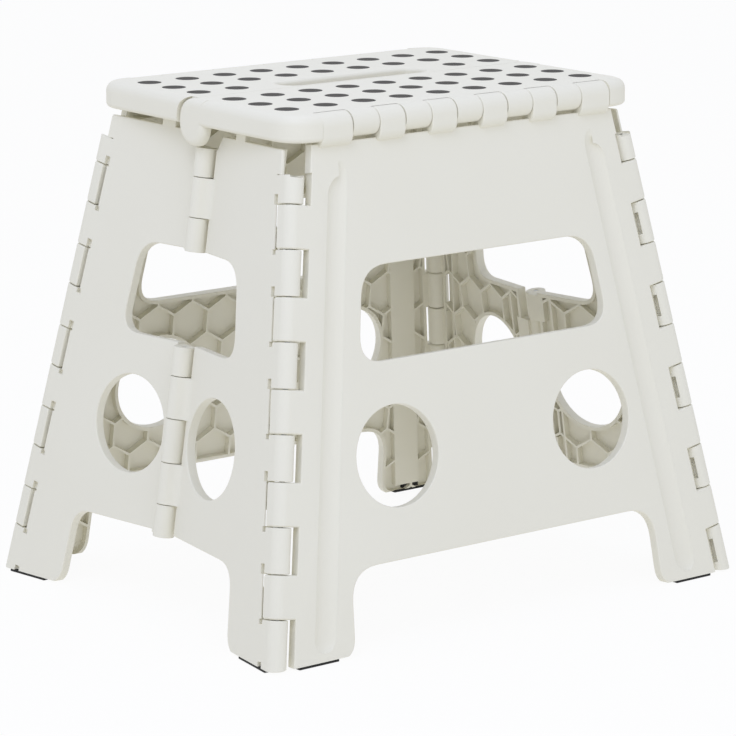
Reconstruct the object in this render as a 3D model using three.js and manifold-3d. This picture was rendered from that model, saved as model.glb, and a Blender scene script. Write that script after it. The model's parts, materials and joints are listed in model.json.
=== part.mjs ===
// Folding step stool: a split seat, two leg panels and two end panels that fold inwards.
// The origin is the middle of the footprint on the floor, x runs along the seat, y to the rear, z up.
// Every size is in millimetres.

import * as THREE from 'three'
import { mergeVertices } from 'three/addons/utils/BufferGeometryUtils.js'
import Module from 'manifold-3d'

const wasm = await Module()
wasm.setup()

// Stance: the corner hinge axes at the seat's top and at the floor, and the middle of the ends
const seatHeight = 390
const cornerTopX = 148.8
const cornerTopY = 109.9
const cornerFloorX = 217.4
const cornerFloorY = 173.5
const middleFloorX = 192.2
const middleAxisOut = 11.1

// Walls of the moulded panels and the gaps between pieces
const panelDepth = 7.6
const skin = 2.4
const border = 5
const cellPitch = 50
const rib = 2.4
const overrun = 2
const fitGap = 0.3
const seamGap = 0.3

// Corner hinges: knuckles of the end half and of the leg panel take turns down the corner
const cornerRadius = 8
const cornerSlot = 3
const cornerPin = 2
const cornerTopDrop = 24
const cornerFirstKnuckle = 17.6
const cornerLast = 36.35
const cornerBorders = 10
const cornerGap = 0.5
const cornerPinFoot = 6

// Middle hinges: knuckles of the two end halves take turns above the hand hole and below it
const middleRadius = 8
const middleSlot = 2.6
const middlePin = 2
const middleGap = 0.8
const upperTopDrop = 18.3
const upperEndDrop = 0.6
const upperShares = [0.278, 0.675]
const lowerTopDrop = 1.7
const lowerEndDrop = 2.2
const lowerShares = [0.152, 0.378, 0.606, 0.829]
const strayBore = 4.8
const strayShift = 1.55
const snugBore = 3.6

// Seat
const seatLength = 330
const seatThickness = 20
const seatSkin = 5
const seatWall = 3
const seatEndWall = 24
const seatRows = 2
const seatColumns = 6
const seatEndRound = 8
const seatPlanRound = 14
const hingeY = 117
const hingeRadius = 10
const hingePin = 2.5
const hingeGap = 0.5
const knuckleWidth = 24.2
const knuckleBorderCount = 10
const knuckleEnd = 137.1
const rodReach = 142

// Centre pivots of the seat, low in the lobes of the front half
const pivotDrop = 26
const lobeRadius = 16.5
const lobeThickness = 8
const lobeGap = 0.5
const lugRadius = 6.5
const lugThickness = 10
const lugGap = 1
const pivotPin = 3
const pivotPinLength = 15
const pivotPinInset = 2.5

// Grip dots, with as many columns on each side of the middle one, and the handle slot
const dotRadius = 8.6
const dotDepth = 2
const sheetThickness = 0.9
const sheetReach = 3
const dotPitchX = 35.1
const dotPitchY = 32.6
const dotFirstY = 22.8
const dotRows = 3
const dotColumns = 4
const slotHalfX = 68
const slotNearY = 6
const slotFarY = 31
const slotRound = 12

// Leg panel: top band, hand hole, round holes, arch, foot and flutes
const bandDrop = 17
const bandRise = 1
const bandInner = 2.5
const topClearance = 0.5
const topSetback = 3
const topStep = 2
const legHoleX = 93.8
const legHoleShare = 0.3546
const legHoleRadius = 37.8
const legHandLowX = 120
const legHandHighX = 109
const legHandLowShare = 0.5333
const legHandHighShare = 0.7103
const legHandRound = 20
const legArchX = 146
const legArchZ = 63
const legArchRound = 24
const legFootX = 150
const footRound = 15
const fluteDepth = 1
const fluteTopX = 120
const fluteDrop = 24
const fluteTopWidth = 8
const fluteLowX = 165
const fluteLowZ = 10
const fluteLowWidth = 21
const fluteRound = 8

// End half: hand hole, round hole, arch, foot, top edge and seat rest
const endHoleY = 53.2
const endHoleShare = 0.3505
const endHoleRadius = 37.7
const endHandLowY = 74
const endHandHighY = 62
const endHandLowShare = 0.5256
const endHandHighShare = 0.7051
const endHandRound = 18
const endArchY = 104
const endArchZ = 62
const endArchRound = 18
const endFootY = 112
const endTopOuterDrop = 5
const endTopInnerDrop = 8
const endTopInnerY = 18
const endShoulderY = 12.6
const restY = 39
const restWidth = 14
const restThickness = 4

// Foot pads
const padThickness = 2
const padWidth = 6.4
const padInset = 0.6
const pegHeight = 6
const pegWidth = 2.6
const pegLength = 18
const legPadNearGap = 15
const legPadFarGap = 16.4
const endPadNearGap = 18
const endPadFarGap = 3.5

// Sides and steps of round shapes, and the share of a cell that counts as whole
const barrelSides = 8
const hingeSides = 12
const pinSides = 6
const lobeSides = 16
const roundSteps = 2
const holeSteps = 10
const hexagon = [0, 1, 2, 3, 4, 5]
const wholeShare = 0.999

// Materials
const shell = { color: 0xe2e1dc, roughness: 0.55, metalness: 0 }
const grip = { color: 0x4e4c4a, roughness: 0.8, metalness: 0 }
const rubber = { color: 0x232323, roughness: 0.9, metalness: 0 }
const steel = { color: 0x9a9c9e, roughness: 0.35, metalness: 1 }

// Worked out from the driving dimensions
const up = new THREE.Vector3(0, 0, 1)
const alongX = new THREE.Vector3(1, 0, 0)
const alongY = new THREE.Vector3(0, 1, 0)
const legLean = Math.atan((cornerFloorY - cornerTopY) / seatHeight)
const apexZ = seatHeight * cornerFloorY / (cornerFloorY - cornerTopY)
const apexX = THREE.MathUtils.lerp(cornerFloorX, cornerTopX, apexZ / seatHeight)
const hingeZ = seatHeight - hingeRadius
const pivotZ = seatHeight - pivotDrop
const seatUnder = seatHeight - seatThickness
const footZ = padThickness + fitGap
const shellTop = seatUnder - topClearance
const seatEnd = seatLength / 2
const bandY = hingeY + hingeRadius
const cornerReach = cornerRadius + cornerSlot
const middleReach = middleRadius + middleSlot
const legPadNear = legFootX + legPadNearGap
const legPadLength = cornerFloorX - legPadFarGap - legPadNear
const endPadNear = endFootY + endPadNearGap
const endPadLength = cornerFloorY - endPadFarGap - endPadNear
const cornerTop = seatUnder - cornerTopDrop
const cornerFirst = cornerTop - cornerFirstKnuckle
const cornerPitch = (cornerFirst - cornerLast) / (cornerBorders - 1)
const bandBottom = seatUnder - bandDrop
const bandTop = seatUnder + bandRise
const legHoleZ = seatHeight * legHoleShare
const legHandLowZ = seatHeight * legHandLowShare
const legHandHighZ = seatHeight * legHandHighShare
const fluteTopZ = seatUnder - fluteDrop
const endHoleZ = seatHeight * endHoleShare
const endHandLowZ = seatHeight * endHandLowShare
const endHandHighZ = seatHeight * endHandHighShare
const endTopOuterZ = seatUnder - endTopOuterDrop
const endTopInnerZ = seatUnder - endTopInnerDrop
const upperTop = seatUnder - upperTopDrop
const upperEnd = endHandHighZ - upperEndDrop
const [upperFirst, upperSecond] = upperShares.map(share => THREE.MathUtils.lerp(upperTop, upperEnd, share))
const lowerTop = endHandLowZ - lowerTopDrop
const lowerEnd = endArchZ - lowerEndDrop
const lowerBorders = lowerShares.map(share => THREE.MathUtils.lerp(lowerTop, lowerEnd, share))
const [lowerFirst, lowerSecond, lowerThird, lowerFourth] = lowerBorders

// Solids
function solidOf(geometry) {
  geometry.deleteAttribute('normal')
  geometry.deleteAttribute('uv')
  const merged = mergeVertices(geometry)
  const vertProperties = new Float32Array(merged.attributes.position.array)
  const triVerts = new Uint32Array(merged.index.array)
  return new wasm.Manifold(new wasm.Mesh({ numProp: 3, vertProperties, triVerts }))
}

function geometryOf(solid) {
  const { vertProperties, triVerts } = solid.getMesh()
  const geometry = new THREE.BufferGeometry()
  geometry.setAttribute('position', new THREE.BufferAttribute(new Float32Array(vertProperties), 3))
  geometry.setIndex(new THREE.BufferAttribute(new Uint32Array(triVerts), 1))
  geometry.computeVertexNormals()
  return geometry
}

const joined = solids => solids.reduce((whole, solid) => whole.add(solid))
const cutBy = (body, solids) => solids.reduce((whole, solid) => whole.subtract(solid), body)
const moved = (solid, matrix) => solid.transform(matrix.elements)
const turned = solid => solid.rotate([0, 0, 180])
const at = (x, y, z) => new THREE.Vector3(x, y, z)
const flat = (a, b) => new THREE.Vector2(a, b)

function box(x0, x1, y0, y1, z0, z1) {
  const geometry = new THREE.BoxGeometry(x1 - x0, y1 - y0, z1 - z0)
  return solidOf(geometry.translate((x0 + x1) / 2, (y0 + y1) / 2, (z0 + z1) / 2))
}

// A round bar between two points, with its corners at the radius
function barrel(from, to, radius, sides = barrelSides) {
  const axis = to.clone().sub(from)
  const geometry = new THREE.CylinderGeometry(radius, radius, axis.length(), sides)
  geometry.applyQuaternion(new THREE.Quaternion().setFromUnitVectors(alongY, axis.normalize()))
  const middle = from.clone().add(to).divideScalar(2)
  return solidOf(geometry.translate(middle.x, middle.y, middle.z))
}

// A round hole between two points, with its flats at the radius
const bore = (from, to, radius, sides = pinSides) =>
  barrel(from, to, radius / Math.cos(Math.PI / sides), sides)

// An outline from corners [across, height, how far from the corner its curve starts]
function outline(corners, place) {
  const points = corners.map(([across, height]) => place(across, height))
  const shape = new THREE.Shape()
  points.forEach((corner, index) => {
    const before = points[(index + points.length - 1) % points.length]
    const after = points[(index + 1) % points.length]
    const run = corners[index][2] || 0
    const start = corner.clone().add(before.clone().sub(corner).setLength(run))
    const end = corner.clone().add(after.clone().sub(corner).setLength(run))
    if (index === 0) shape.moveTo(start.x, start.y)
    else shape.lineTo(start.x, start.y)
    if (run > 0) shape.quadraticCurveTo(corner.x, corner.y, end.x, end.y)
  })
  shape.closePath()
  return shape
}

function bothSides(corners) {
  const mirrored = corners.map(([across, height, run]) => [-across, height, run])
  return [...corners, ...mirrored.reverse()]
}

function circle(centre, radius) {
  const shape = new THREE.Shape()
  shape.absarc(centre.x, centre.y, radius, 0, 2 * Math.PI)
  return shape
}

// A slab of a shape, between two depths below the frame's face
function slab(shape, frame, nearDepth, farDepth, steps = roundSteps) {
  const settings = { depth: farDepth - nearDepth, bevelEnabled: false, curveSegments: steps }
  const geometry = new THREE.ExtrudeGeometry(shape, settings).translate(0, 0, -farDepth)
  return solidOf(geometry.applyMatrix4(frame))
}

// A bar along x whose section is given by [y, z] corners
function barAlongX(corners, x0, x1) {
  const frame = new THREE.Matrix4().makeBasis(alongY, up, alongX)
  return slab(outline(corners, flat), frame, -x1, -x0)
}

// The frame of a panel: x across it, y up its slope, z out of its outer face
function panelFrame(origin, outward) {
  const slope = up.clone().addScaledVector(outward, -up.dot(outward)).normalize()
  const across = new THREE.Vector3().crossVectors(slope, outward)
  return new THREE.Matrix4().makeBasis(across, slope, outward).setPosition(origin)
}

// Where a point lands in a panel's own plane when it slides onto the face along a direction
function onFace(frame, point, direction) {
  const inverse = frame.clone().invert()
  const local = point.clone().applyMatrix4(inverse)
  const slide = direction.clone().transformDirection(inverse)
  const run = local.z / slide.z
  return flat(local.x - slide.x * run, local.y - slide.y * run)
}

// The frame of a hinge in a panel: x into the panel, y outwards, z along the hinge
function hingeFrame(from, to, panel, into) {
  const axis = to.clone().sub(from).normalize()
  const outward = new THREE.Vector3().setFromMatrixColumn(panel, 2)
  const inPlane = new THREE.Vector3().crossVectors(outward, axis).normalize()
  if (inPlane.dot(into) < 0) inPlane.negate()
  const normal = new THREE.Vector3().crossVectors(axis, inPlane)
  if (normal.dot(outward) < 0) normal.negate()
  const along = new THREE.Vector3().crossVectors(inPlane, normal)
  const middle = from.clone().add(to).divideScalar(2)
  return new THREE.Matrix4().makeBasis(inPlane, normal, along).setPosition(middle)
}

// A knuckle: a barrel on the hinge axis with a web of the panel's own depth that reaches into the panel
function knuckle(from, to, panel, into, radius, faceOut, reach) {
  const frame = hingeFrame(from, to, panel, into)
  const half = from.distanceTo(to) / 2
  const web = box(0, reach + border / 2, faceOut - panelDepth, faceOut, -half, half)
  const round = barrel(at(0, 0, -half), at(0, 0, half), radius)
  return moved(web.add(round), frame)
}

// Honeycomb pockets that lie wholly in a region, between two depths below a face
function pockets(region, frame, nearDepth, farDepth, halfWidth, lowest, highest) {
  const radius = (cellPitch - rib) / Math.sqrt(3)
  const rowPitch = cellPitch * Math.sqrt(3) / 2
  const rows = Math.ceil((highest - lowest) / rowPitch)
  const columns = Math.ceil(halfWidth / cellPitch)
  const cells = []
  for (let row = 0; row <= rows; row++) {
    for (let column = -columns; column <= columns; column++) {
      const x = (column + (row % 2) / 2) * cellPitch
      const y = lowest + row * rowPitch
      const angles = hexagon.map(corner => (corner + 1 / 2) * Math.PI / 3)
      const corners = angles.map(angle => [x + radius * Math.cos(angle), y + radius * Math.sin(angle)])
      cells.push(outline(corners, flat))
    }
  }
  const whole = cells.map(cell => slab(cell, frame, nearDepth, farDepth))
  return whole.filter(cell => cell.intersect(region).volume() > wholeShare * cell.volume())
}

// Hinge axes of the left end: side is -1 at the front and 1 at the rear
function cornerPoint(z, side) {
  const share = z / seatHeight
  const x = THREE.MathUtils.lerp(cornerFloorX, cornerTopX, share)
  const y = THREE.MathUtils.lerp(cornerFloorY, cornerTopY, share)
  return at(-x, side * y, z)
}

const middlePoint = z => at(-THREE.MathUtils.lerp(middleFloorX, apexX, z / apexZ) - middleAxisOut, 0, z)

const everyOther = (spans, first) => spans.filter((_, index) => index % 2 === first)

// Heights of the knuckles down a corner, in pairs [low, high]
function cornerSpans() {
  const borders = [...Array(cornerBorders).keys()].map(index => cornerFirst - index * cornerPitch)
  const edges = [cornerTop, ...borders, 0]
  const spans = edges.slice(1).map((low, index) => [low, edges[index]])
  return { end: everyOther(spans, 0), leg: everyOther(spans, 1) }
}

// Heights of the middle knuckles: of the half that holds the rods, and of the other half
const rodSpans = [
  [upperFirst, upperTop], [upperEnd, upperSecond],
  [lowerFirst, lowerTop], [lowerThird, lowerSecond], [lowerEnd, lowerFourth],
]
const widened = (spans, gap) => spans.map(([low, high]) => [low - gap, high + gap])
const cradleSpan = [upperSecond, upperFirst]
const straySpan = [lowerSecond, lowerFirst]
const snugSpan = [lowerFourth, lowerThird]

// Spans of the seat hinge along x: the leg panel's knuckles and, between them, the seat half's
function seatSpans() {
  const middle = (knuckleBorderCount - 1) / 2
  const edges = [...Array(knuckleBorderCount).keys()].map(index => (index - middle) * knuckleWidth)
  const all = [-knuckleEnd, ...edges, knuckleEnd]
  const spans = all.slice(1).map((right, index) => [all[index], right])
  return { leg: everyOther(spans, 0), seat: everyOther(spans, 1) }
}

const hingeLine = (x0, x1) => [at(x0, -hingeY, hingeZ), at(x1, -hingeY, hingeZ)]

// Leg panel, drawn as the front one
const legOutward = at(0, -Math.cos(legLean), Math.sin(legLean))
const legFaceFloorY = -cornerFloorY - cornerRadius / Math.cos(legLean)
const legFrame = panelFrame(at(0, legFaceFloorY, 0), legOutward)
const legFaceY = z => legFaceFloorY + z * Math.tan(legLean)
const legInnerY = z => legFaceY(z) + panelDepth / Math.cos(legLean)
const legFace = (x, z) => onFace(legFrame, at(x, 0, z), alongY)
const legCornerX = z => -cornerPoint(z, -1).x

function legOutline(inset) {
  return outline(bothSides([
    [legArchX + inset, legArchZ + inset, legArchRound],
    [legFootX + inset, footZ - overrun + inset, footRound],
    [legCornerX(0) - cornerReach - inset, footZ - overrun + inset],
    [legCornerX(cornerTop) - cornerReach - inset, cornerTop + topStep + inset],
    [legCornerX(cornerTop) - topSetback - inset, cornerTop + topStep + inset],
    [legCornerX(shellTop) - topSetback - inset, shellTop - inset],
  ]), legFace)
}

function legHoles(grow) {
  const hand = outline(bothSides([
    [legHandLowX + grow, legHandLowZ - grow, legHandRound],
    [legHandHighX + grow, legHandHighZ + grow, legHandRound],
  ]), legFace)
  const round = [-1, 1].map(side => circle(legFace(side * legHoleX, legHoleZ), legHoleRadius + grow))
  return [
    slab(hand, legFrame, -overrun, panelDepth + overrun),
    slab(round, legFrame, -overrun, panelDepth + overrun, holeSteps),
  ]
}

function legFlute(side) {
  const shape = outline([
    [side * fluteTopX, fluteTopZ],
    [side * (fluteTopX + fluteTopWidth), fluteTopZ],
    [side * (fluteLowX + fluteLowWidth), fluteLowZ, fluteRound],
    [side * fluteLowX, fluteLowZ, fluteRound],
  ], legFace)
  return slab(shape, legFrame, -overrun, fluteDepth)
}

function legPegRooms(grow) {
  return [-1, 1].map(side => {
    const middle = side * (legPadNear + legPadLength / 2)
    const y = legFaceFloorY + padInset + padWidth / 2
    const half = pegLength / 2 + grow
    return box(middle - half, middle + half, y - pegWidth / 2 - grow, y + pegWidth / 2 + grow,
      padThickness / 2, padThickness + pegHeight + grow)
  })
}

function legPanel() {
  const spans = cornerSpans()
  const corners = [-1, 1].map(side => ({
    into: at(-side, 0, 0),
    point: z => at(side * legCornerX(z), cornerPoint(z, -1).y, z),
  }))
  const knuckleAt = ({ into, point }, [low, high]) => knuckle(
    point(low + cornerGap), point(high - cornerGap),
    legFrame, into, cornerRadius, cornerRadius, cornerReach)
  const knuckles = corners.flatMap(corner => spans.leg.map(span => knuckleAt(corner, span)))
  const rodHoles = corners.map(({ point }) =>
    bore(point(cornerPinFoot), point(cornerTop + overrun), cornerPin + fitGap))

  const deep = panelDepth + overrun
  const region = cutBy(slab(legOutline(border), legFrame, 0, deep + overrun), legHoles(border))
  const cells = pockets(region, legFrame, skin, deep, cornerFloorX, legArchZ, bandBottom - border)
  const plate = slab(legOutline(0), legFrame, 0, panelDepth)
  const floor = box(-cornerFloorX - deep, cornerFloorX + deep, legFaceFloorY - deep, 0, -deep, footZ)
  const flutes = [-1, 1].map(legFlute)
  const body = joined([plate, ...knuckles, legBand(), ...legSeatKnuckles()])
  const hingeHole = bore(...hingeLine(-knuckleEnd - overrun, knuckleEnd + overrun), hingePin + fitGap)
  const holes = [...legHoles(0), ...cells, ...rodHoles, hingeHole, ...legPegRooms(fitGap)]
  return cutBy(body, [...holes, floor, ...flutes])
}

// The thicker band along the leg panel's top, hollowed round under the seat's knuckles
function legBand() {
  const room = hingeRadius + hingeGap
  const lipY = Math.sqrt(room * room - (hingeZ - bandTop) * (hingeZ - bandTop))
  return barAlongX([
    [-bandY, bandBottom], [legInnerY(bandBottom), bandBottom], [legInnerY(shellTop), shellTop],
    [-hingeY, shellTop], [-hingeY - lipY, bandTop], [-bandY, bandTop],
  ], -knuckleEnd, knuckleEnd)
}

function legSeatKnuckles() {
  const { leg } = seatSpans()
  return leg.flatMap(([x0, x1], index) => {
    const left = index === 0 ? x0 : x0 + hingeGap
    const right = index === leg.length - 1 ? x1 : x1 - hingeGap
    const web = box(left, right, -bandY, -hingeY + bandInner, bandTop - seatSkin, hingeZ)
    return [barrel(...hingeLine(left, right), hingeRadius, hingeSides), web]
  })
}

function legPad(side) {
  const near = side * legPadNear
  const far = side * (legPadNear + legPadLength)
  const y = legFaceFloorY + padInset
  const sole = box(Math.min(near, far), Math.max(near, far), y, y + padWidth, 0, padThickness)
  return sole.add(legPegRooms(0)[side < 0 ? 0 : 1])
}

// End halves of the left end: side is -1 for the front half and 1 for the rear half
function endFrame(side) {
  const apex = at(-apexX, 0, apexZ)
  const middle = at(-middleFloorX, 0, 0)
  const outward = cornerPoint(0, side).sub(apex).cross(middle.clone().sub(apex)).normalize()
  if (outward.x > 0) outward.negate()
  return panelFrame(middle.addScaledVector(outward, cornerRadius), outward)
}

const endFace = side => (y, z) => onFace(endFrame(side), at(0, side * y, z), alongX)
const endCornerY = z => -cornerPoint(z, -1).y

function endOutline(side, inset) {
  return outline([
    [middleReach + inset, endArchZ + inset],
    [endArchY + inset, endArchZ + inset, endArchRound],
    [endFootY + inset, footZ - overrun + inset, footRound],
    [endCornerY(0) - cornerReach - inset, footZ - overrun + inset],
    [endCornerY(cornerTop) - cornerReach - inset, cornerTop + inset],
    [endCornerY(cornerTop) - inset, cornerTop + inset],
    [endCornerY(endTopOuterZ) - inset, endTopOuterZ - inset],
    [endTopInnerY + inset, endTopInnerZ - inset],
    [endShoulderY + inset, upperTop - inset],
    [middleReach + inset, upperTop - inset],
  ], endFace(side))
}

function endHoles(side, grow) {
  const hand = outline([
    [-overrun - grow, endHandLowZ - grow],
    [endHandLowY + grow, endHandLowZ - grow, endHandRound],
    [endHandHighY + grow, endHandHighZ + grow, endHandRound],
    [-overrun - grow, endHandHighZ + grow],
  ], endFace(side))
  const round = circle(endFace(side)(endHoleY, endHoleZ), endHoleRadius + grow)
  const frame = endFrame(side)
  return [
    slab(hand, frame, -overrun, panelDepth + overrun),
    slab(round, frame, -overrun, panelDepth + overrun, holeSteps),
  ]
}

function endRest(side) {
  const shape = outline([
    [restY, endTopInnerZ - border], [restY + restWidth, endTopInnerZ - border],
    [restY + restWidth, seatUnder - fitGap], [restY, seatUnder - fitGap],
  ], endFace(side))
  return slab(shape, endFrame(side), 0, restThickness).subtract(
    box(-cornerFloorX, 0, -cornerFloorY, cornerFloorY, seatUnder - fitGap, seatHeight))
}

// A foot piece under an end half: across is measured from the middle, along the panel
function endFootBar(side, near, far, setback, width, z0, z1) {
  const frame = endFrame(side)
  const across = new THREE.Vector3().setFromMatrixColumn(frame, 0)
  if (across.y * side < 0) across.negate()
  const inward = new THREE.Vector3().crossVectors(across, up)
  if (inward.x < 0) inward.negate()
  const local = endFace(side)(near, 0)
  const origin = at(local.x, local.y, 0).applyMatrix4(frame)
  const basis = new THREE.Matrix4().makeBasis(across, inward, across.clone().cross(inward))
  basis.setPosition(origin)
  const rise = across.clone().cross(inward).z
  const length = (far - near) / Math.abs(across.y)
  const bottom = Math.min(rise * z0, rise * z1)
  const top = Math.max(rise * z0, rise * z1)
  const bar = box(0, length, setback, setback + width, bottom, top)
  return moved(bar, basis)
}

function endPeg(side, grow) {
  const middle = endPadNear + endPadLength / 2
  const setback = padInset + (padWidth - pegWidth) / 2
  return endFootBar(side, middle - pegLength / 2 - grow, middle + pegLength / 2 + grow,
    setback - grow, pegWidth + 2 * grow, padThickness / 2, padThickness + pegHeight + grow)
}

function endPad(side) {
  const sole = endFootBar(side, endPadNear, endPadNear + endPadLength, padInset, padWidth, 0, padThickness)
  return sole.add(endPeg(side, 0))
}

// The half that holds the middle rods has the rod spans, the other half has the open and wide knuckles
function endHalf(side, holdsRods) {
  const frame = endFrame(side)
  const toMiddle = at(0, -side, 0)
  const toCorner = at(0, side, 0)
  const cornerAt = z => cornerPoint(z, side)
  const cornerKnuckles = cornerSpans().end.map(([low, high]) => knuckle(
    cornerAt(low), cornerAt(high), frame, toMiddle, cornerRadius, cornerRadius, cornerReach))
  const cornerHole = bore(cornerAt(cornerPinFoot), cornerAt(cornerTop + overrun), cornerPin + fitGap)
  const ownSpans = holdsRods ? rodSpans : widened([cradleSpan, straySpan, snugSpan], -middleGap)
  const middleKnuckles = ownSpans.map(([low, high]) => knuckle(
    middlePoint(low), middlePoint(high), frame, toCorner, middleRadius, -middleFaceDrop(frame), middleReach))

  const deep = panelDepth + overrun
  const region = cutBy(slab(endOutline(side, border), frame, 0, deep + overrun), endHoles(side, border))
  const cells = pockets(region, frame, skin, deep, cornerFloorY, endArchZ, endTopOuterZ)
  const plate = slab(endOutline(side, 0), frame, 0, panelDepth)
  const floor = box(-cornerFloorX - deep, 0, -cornerFloorY - deep, cornerFloorY + deep, -deep, footZ)
  const body = joined([plate, ...cornerKnuckles, ...middleKnuckles, endRest(side)])
  const middleHoles = holdsRods ? rodHoles() : looseHoles(frame, toCorner)
  const holes = [...endHoles(side, 0), ...cells, cornerHole, ...middleHoles, endPeg(side, fitGap)]
  return cutBy(body, [...holes, floor])
}

// How far the middle axis lies outside an end half's outer face
const middleFaceDrop = frame => middlePoint(endHoleZ).applyMatrix4(frame.clone().invert()).z

function rodHoles() {
  return [[upperEnd, upperTop], [lowerEnd, lowerTop]].map(([low, high]) =>
    bore(middlePoint(low - overrun), middlePoint(high + overrun), middlePin + fitGap))
}

// The other half's knuckles leave the rods room to stray while the ends fold
function looseHoles(frame, toCorner) {
  const [cradleFrom, cradleTo] = cradleSpan.map(middlePoint)
  const half = cradleFrom.distanceTo(cradleTo) / 2
  const room = middlePin + fitGap
  const far = middleRadius + overrun
  const cradleFrame = hingeFrame(cradleFrom, cradleTo, frame, toCorner)
  const cradle = moved(box(-far, room, -room, far, -half, half), cradleFrame)
  const strayFrame = hingeFrame(...straySpan.map(middlePoint), frame, toCorner)
  const inPlane = new THREE.Vector3().setFromMatrixColumn(strayFrame, 0)
  const outward = new THREE.Vector3().setFromMatrixColumn(strayFrame, 1)
  const shift = inPlane.multiplyScalar(-strayShift).addScaledVector(outward, strayShift)
  const [strayFrom, strayTo] = straySpan.map(z => middlePoint(z).add(shift))
  const [snugFrom, snugTo] = snugSpan.map(middlePoint)
  return [
    cradle, bore(cradleFrom, cradleTo, snugBore),
    bore(strayFrom, strayTo, strayBore, barrelSides), bore(snugFrom, snugTo, snugBore),
  ]
}

const cornerRod = side => barrel(
  cornerPoint(cornerPinFoot + fitGap, side), cornerPoint(cornerTop - seamGap, side), cornerPin, pinSides)
const middleRod = (low, high) =>
  barrel(middlePoint(low + seamGap), middlePoint(high - seamGap), middlePin, pinSides)

// Seat halves, drawn as the front one: the rear one is turned about the upright axis
// Pockets between the ribs under a seat half
function seatPockets() {
  const halfX = seatEnd - seatEndWall
  const farY = -hingeY + hingeRadius + seatWall
  const pitchX = 2 * halfX / seatColumns
  const pitchY = (-seatWall - farY) / seatRows
  const cells = []
  for (let row = 0; row < seatRows; row++) {
    for (let column = 0; column < seatColumns; column++) {
      const x = -halfX + column * pitchX
      const y = farY + row * pitchY
      cells.push(box(x + rib / 2, x + pitchX - rib / 2, y + rib / 2, y + pitchY - rib / 2,
        seatUnder - overrun, seatHeight - seatSkin))
    }
  }
  return cells
}

function seatBase(holes) {
  const board = joined([
    box(-seatEnd, seatEnd, -hingeY, -seamGap, seatUnder, seatHeight),
    barrel(...hingeLine(-seatEnd, seatEnd), hingeRadius, hingeSides),
  ])
  const sideFrame = new THREE.Matrix4().makeBasis(alongX, up, at(0, -1, 0))
  const ends = slab(outline(bothSides([
    [seatEnd, seatUnder], [seatEnd, seatHeight, seatEndRound],
  ]), flat), sideFrame, -bandY, overrun)
  const plan = slab(outline(bothSides([
    [seatEnd, overrun], [seatEnd, -bandY, seatPlanRound],
  ]), flat), new THREE.Matrix4(), -seatHeight, -seatUnder)
  const cells = seatPockets().map(cell => cutBy(cell, holes(seatWall)))
  const { leg } = seatSpans()
  const rooms = leg.map(([x0, x1]) =>
    bore(...hingeLine(x0 - hingeGap, x1 + hingeGap), hingeRadius + hingeGap, hingeSides))
  const rodHole = bore(...hingeLine(-rodReach - fitGap, rodReach + fitGap), hingePin + fitGap)
  return cutBy(board.intersect(ends).intersect(plan), [...cells, ...rooms, rodHole, ...holes(0)])
}

// Grip dots by row and column; the rear half's first row gives way to the handle slot
function dotCentres(isRear) {
  const centres = []
  for (let row = 0; row < dotRows; row++) {
    for (let column = -dotColumns; column <= dotColumns; column++) {
      const x = column * dotPitchX
      const y = dotFirstY + row * dotPitchY
      const meetsSlot = isRear && y - dotRadius < slotFarY && Math.abs(x) - dotRadius < slotHalfX
      if (!meetsSlot) centres.push([x, isRear ? y : -y])
    }
  }
  return centres
}

// Each half's dots are one soft moulding: a thin sheet inside the seat's skin joins them
function dotMoulding(isRear, grow) {
  const centres = dotCentres(isRear)
  const low = seatHeight - dotDepth - sheetThickness - grow
  const top = seatHeight - dotDepth + grow
  const reach = sheetReach + grow
  const sign = isRear ? 1 : -1
  const endColumn = Math.ceil((slotHalfX + dotRadius) / dotPitchX)
  const last = dotRows - 1
  const sheets = isRear
    ? [[-dotColumns, dotColumns, 1, last], [-dotColumns, -endColumn, 0, 1], [endColumn, dotColumns, 0, 1]]
    : [[-dotColumns, dotColumns, 0, last]]
  const root = (low + top) / 2
  const spotAt = ([x, y]) => barrel(at(x, y, root), at(x, y, seatHeight), dotRadius + grow, pinSides)
  const spots = centres.map(spotAt)
  const backing = sheets.map(([left, right, nearRow, farRow]) => {
    const ys = [nearRow, farRow].map(row => sign * (dotFirstY + row * dotPitchY)).sort((a, b) => a - b)
    return box(left * dotPitchX - reach, right * dotPitchX + reach, ys[0] - reach, ys[1] + reach, low, top)
  })
  return joined([...backing, ...spots])
}

// Centre pivot pieces at one end: side is -1 at the left and 1 at the right
const pivotLine = (side, x0, x1) => [at(side * x0, 0, pivotZ), at(side * x1, 0, pivotZ)]
const lobeLine = (side, x0, x1) => [at(side * x0, 0, seatUnder), at(side * x1, 0, seatUnder)]
const lobeInner = seatEnd - lobeThickness
const lugOuter = lobeInner - lobeGap
const lugInner = lugOuter - lugThickness
const pinOuter = seatEnd - pivotPinInset

function seatFront() {
  const ends = [-1, 1]
  const lobes = ends.map(side => barrel(...lobeLine(side, lobeInner, seatEnd), lobeRadius, lobeSides))
  const pinLine = side => pivotLine(side, lobeInner - overrun, pinOuter + fitGap)
  const pinHoles = ends.map(side => bore(...pinLine(side), pivotPin + fitGap))
  const lugRooms = ends.map(side =>
    bore(...pivotLine(side, lugInner - lobeGap, lobeInner), lugRadius + lugGap, barrelSides))
  const base = seatBase(() => []).subtract(joined(lugRooms))
  return cutBy(joined([base, ...lobes]), [...pinHoles, dotMoulding(false, fitGap)])
}

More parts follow.
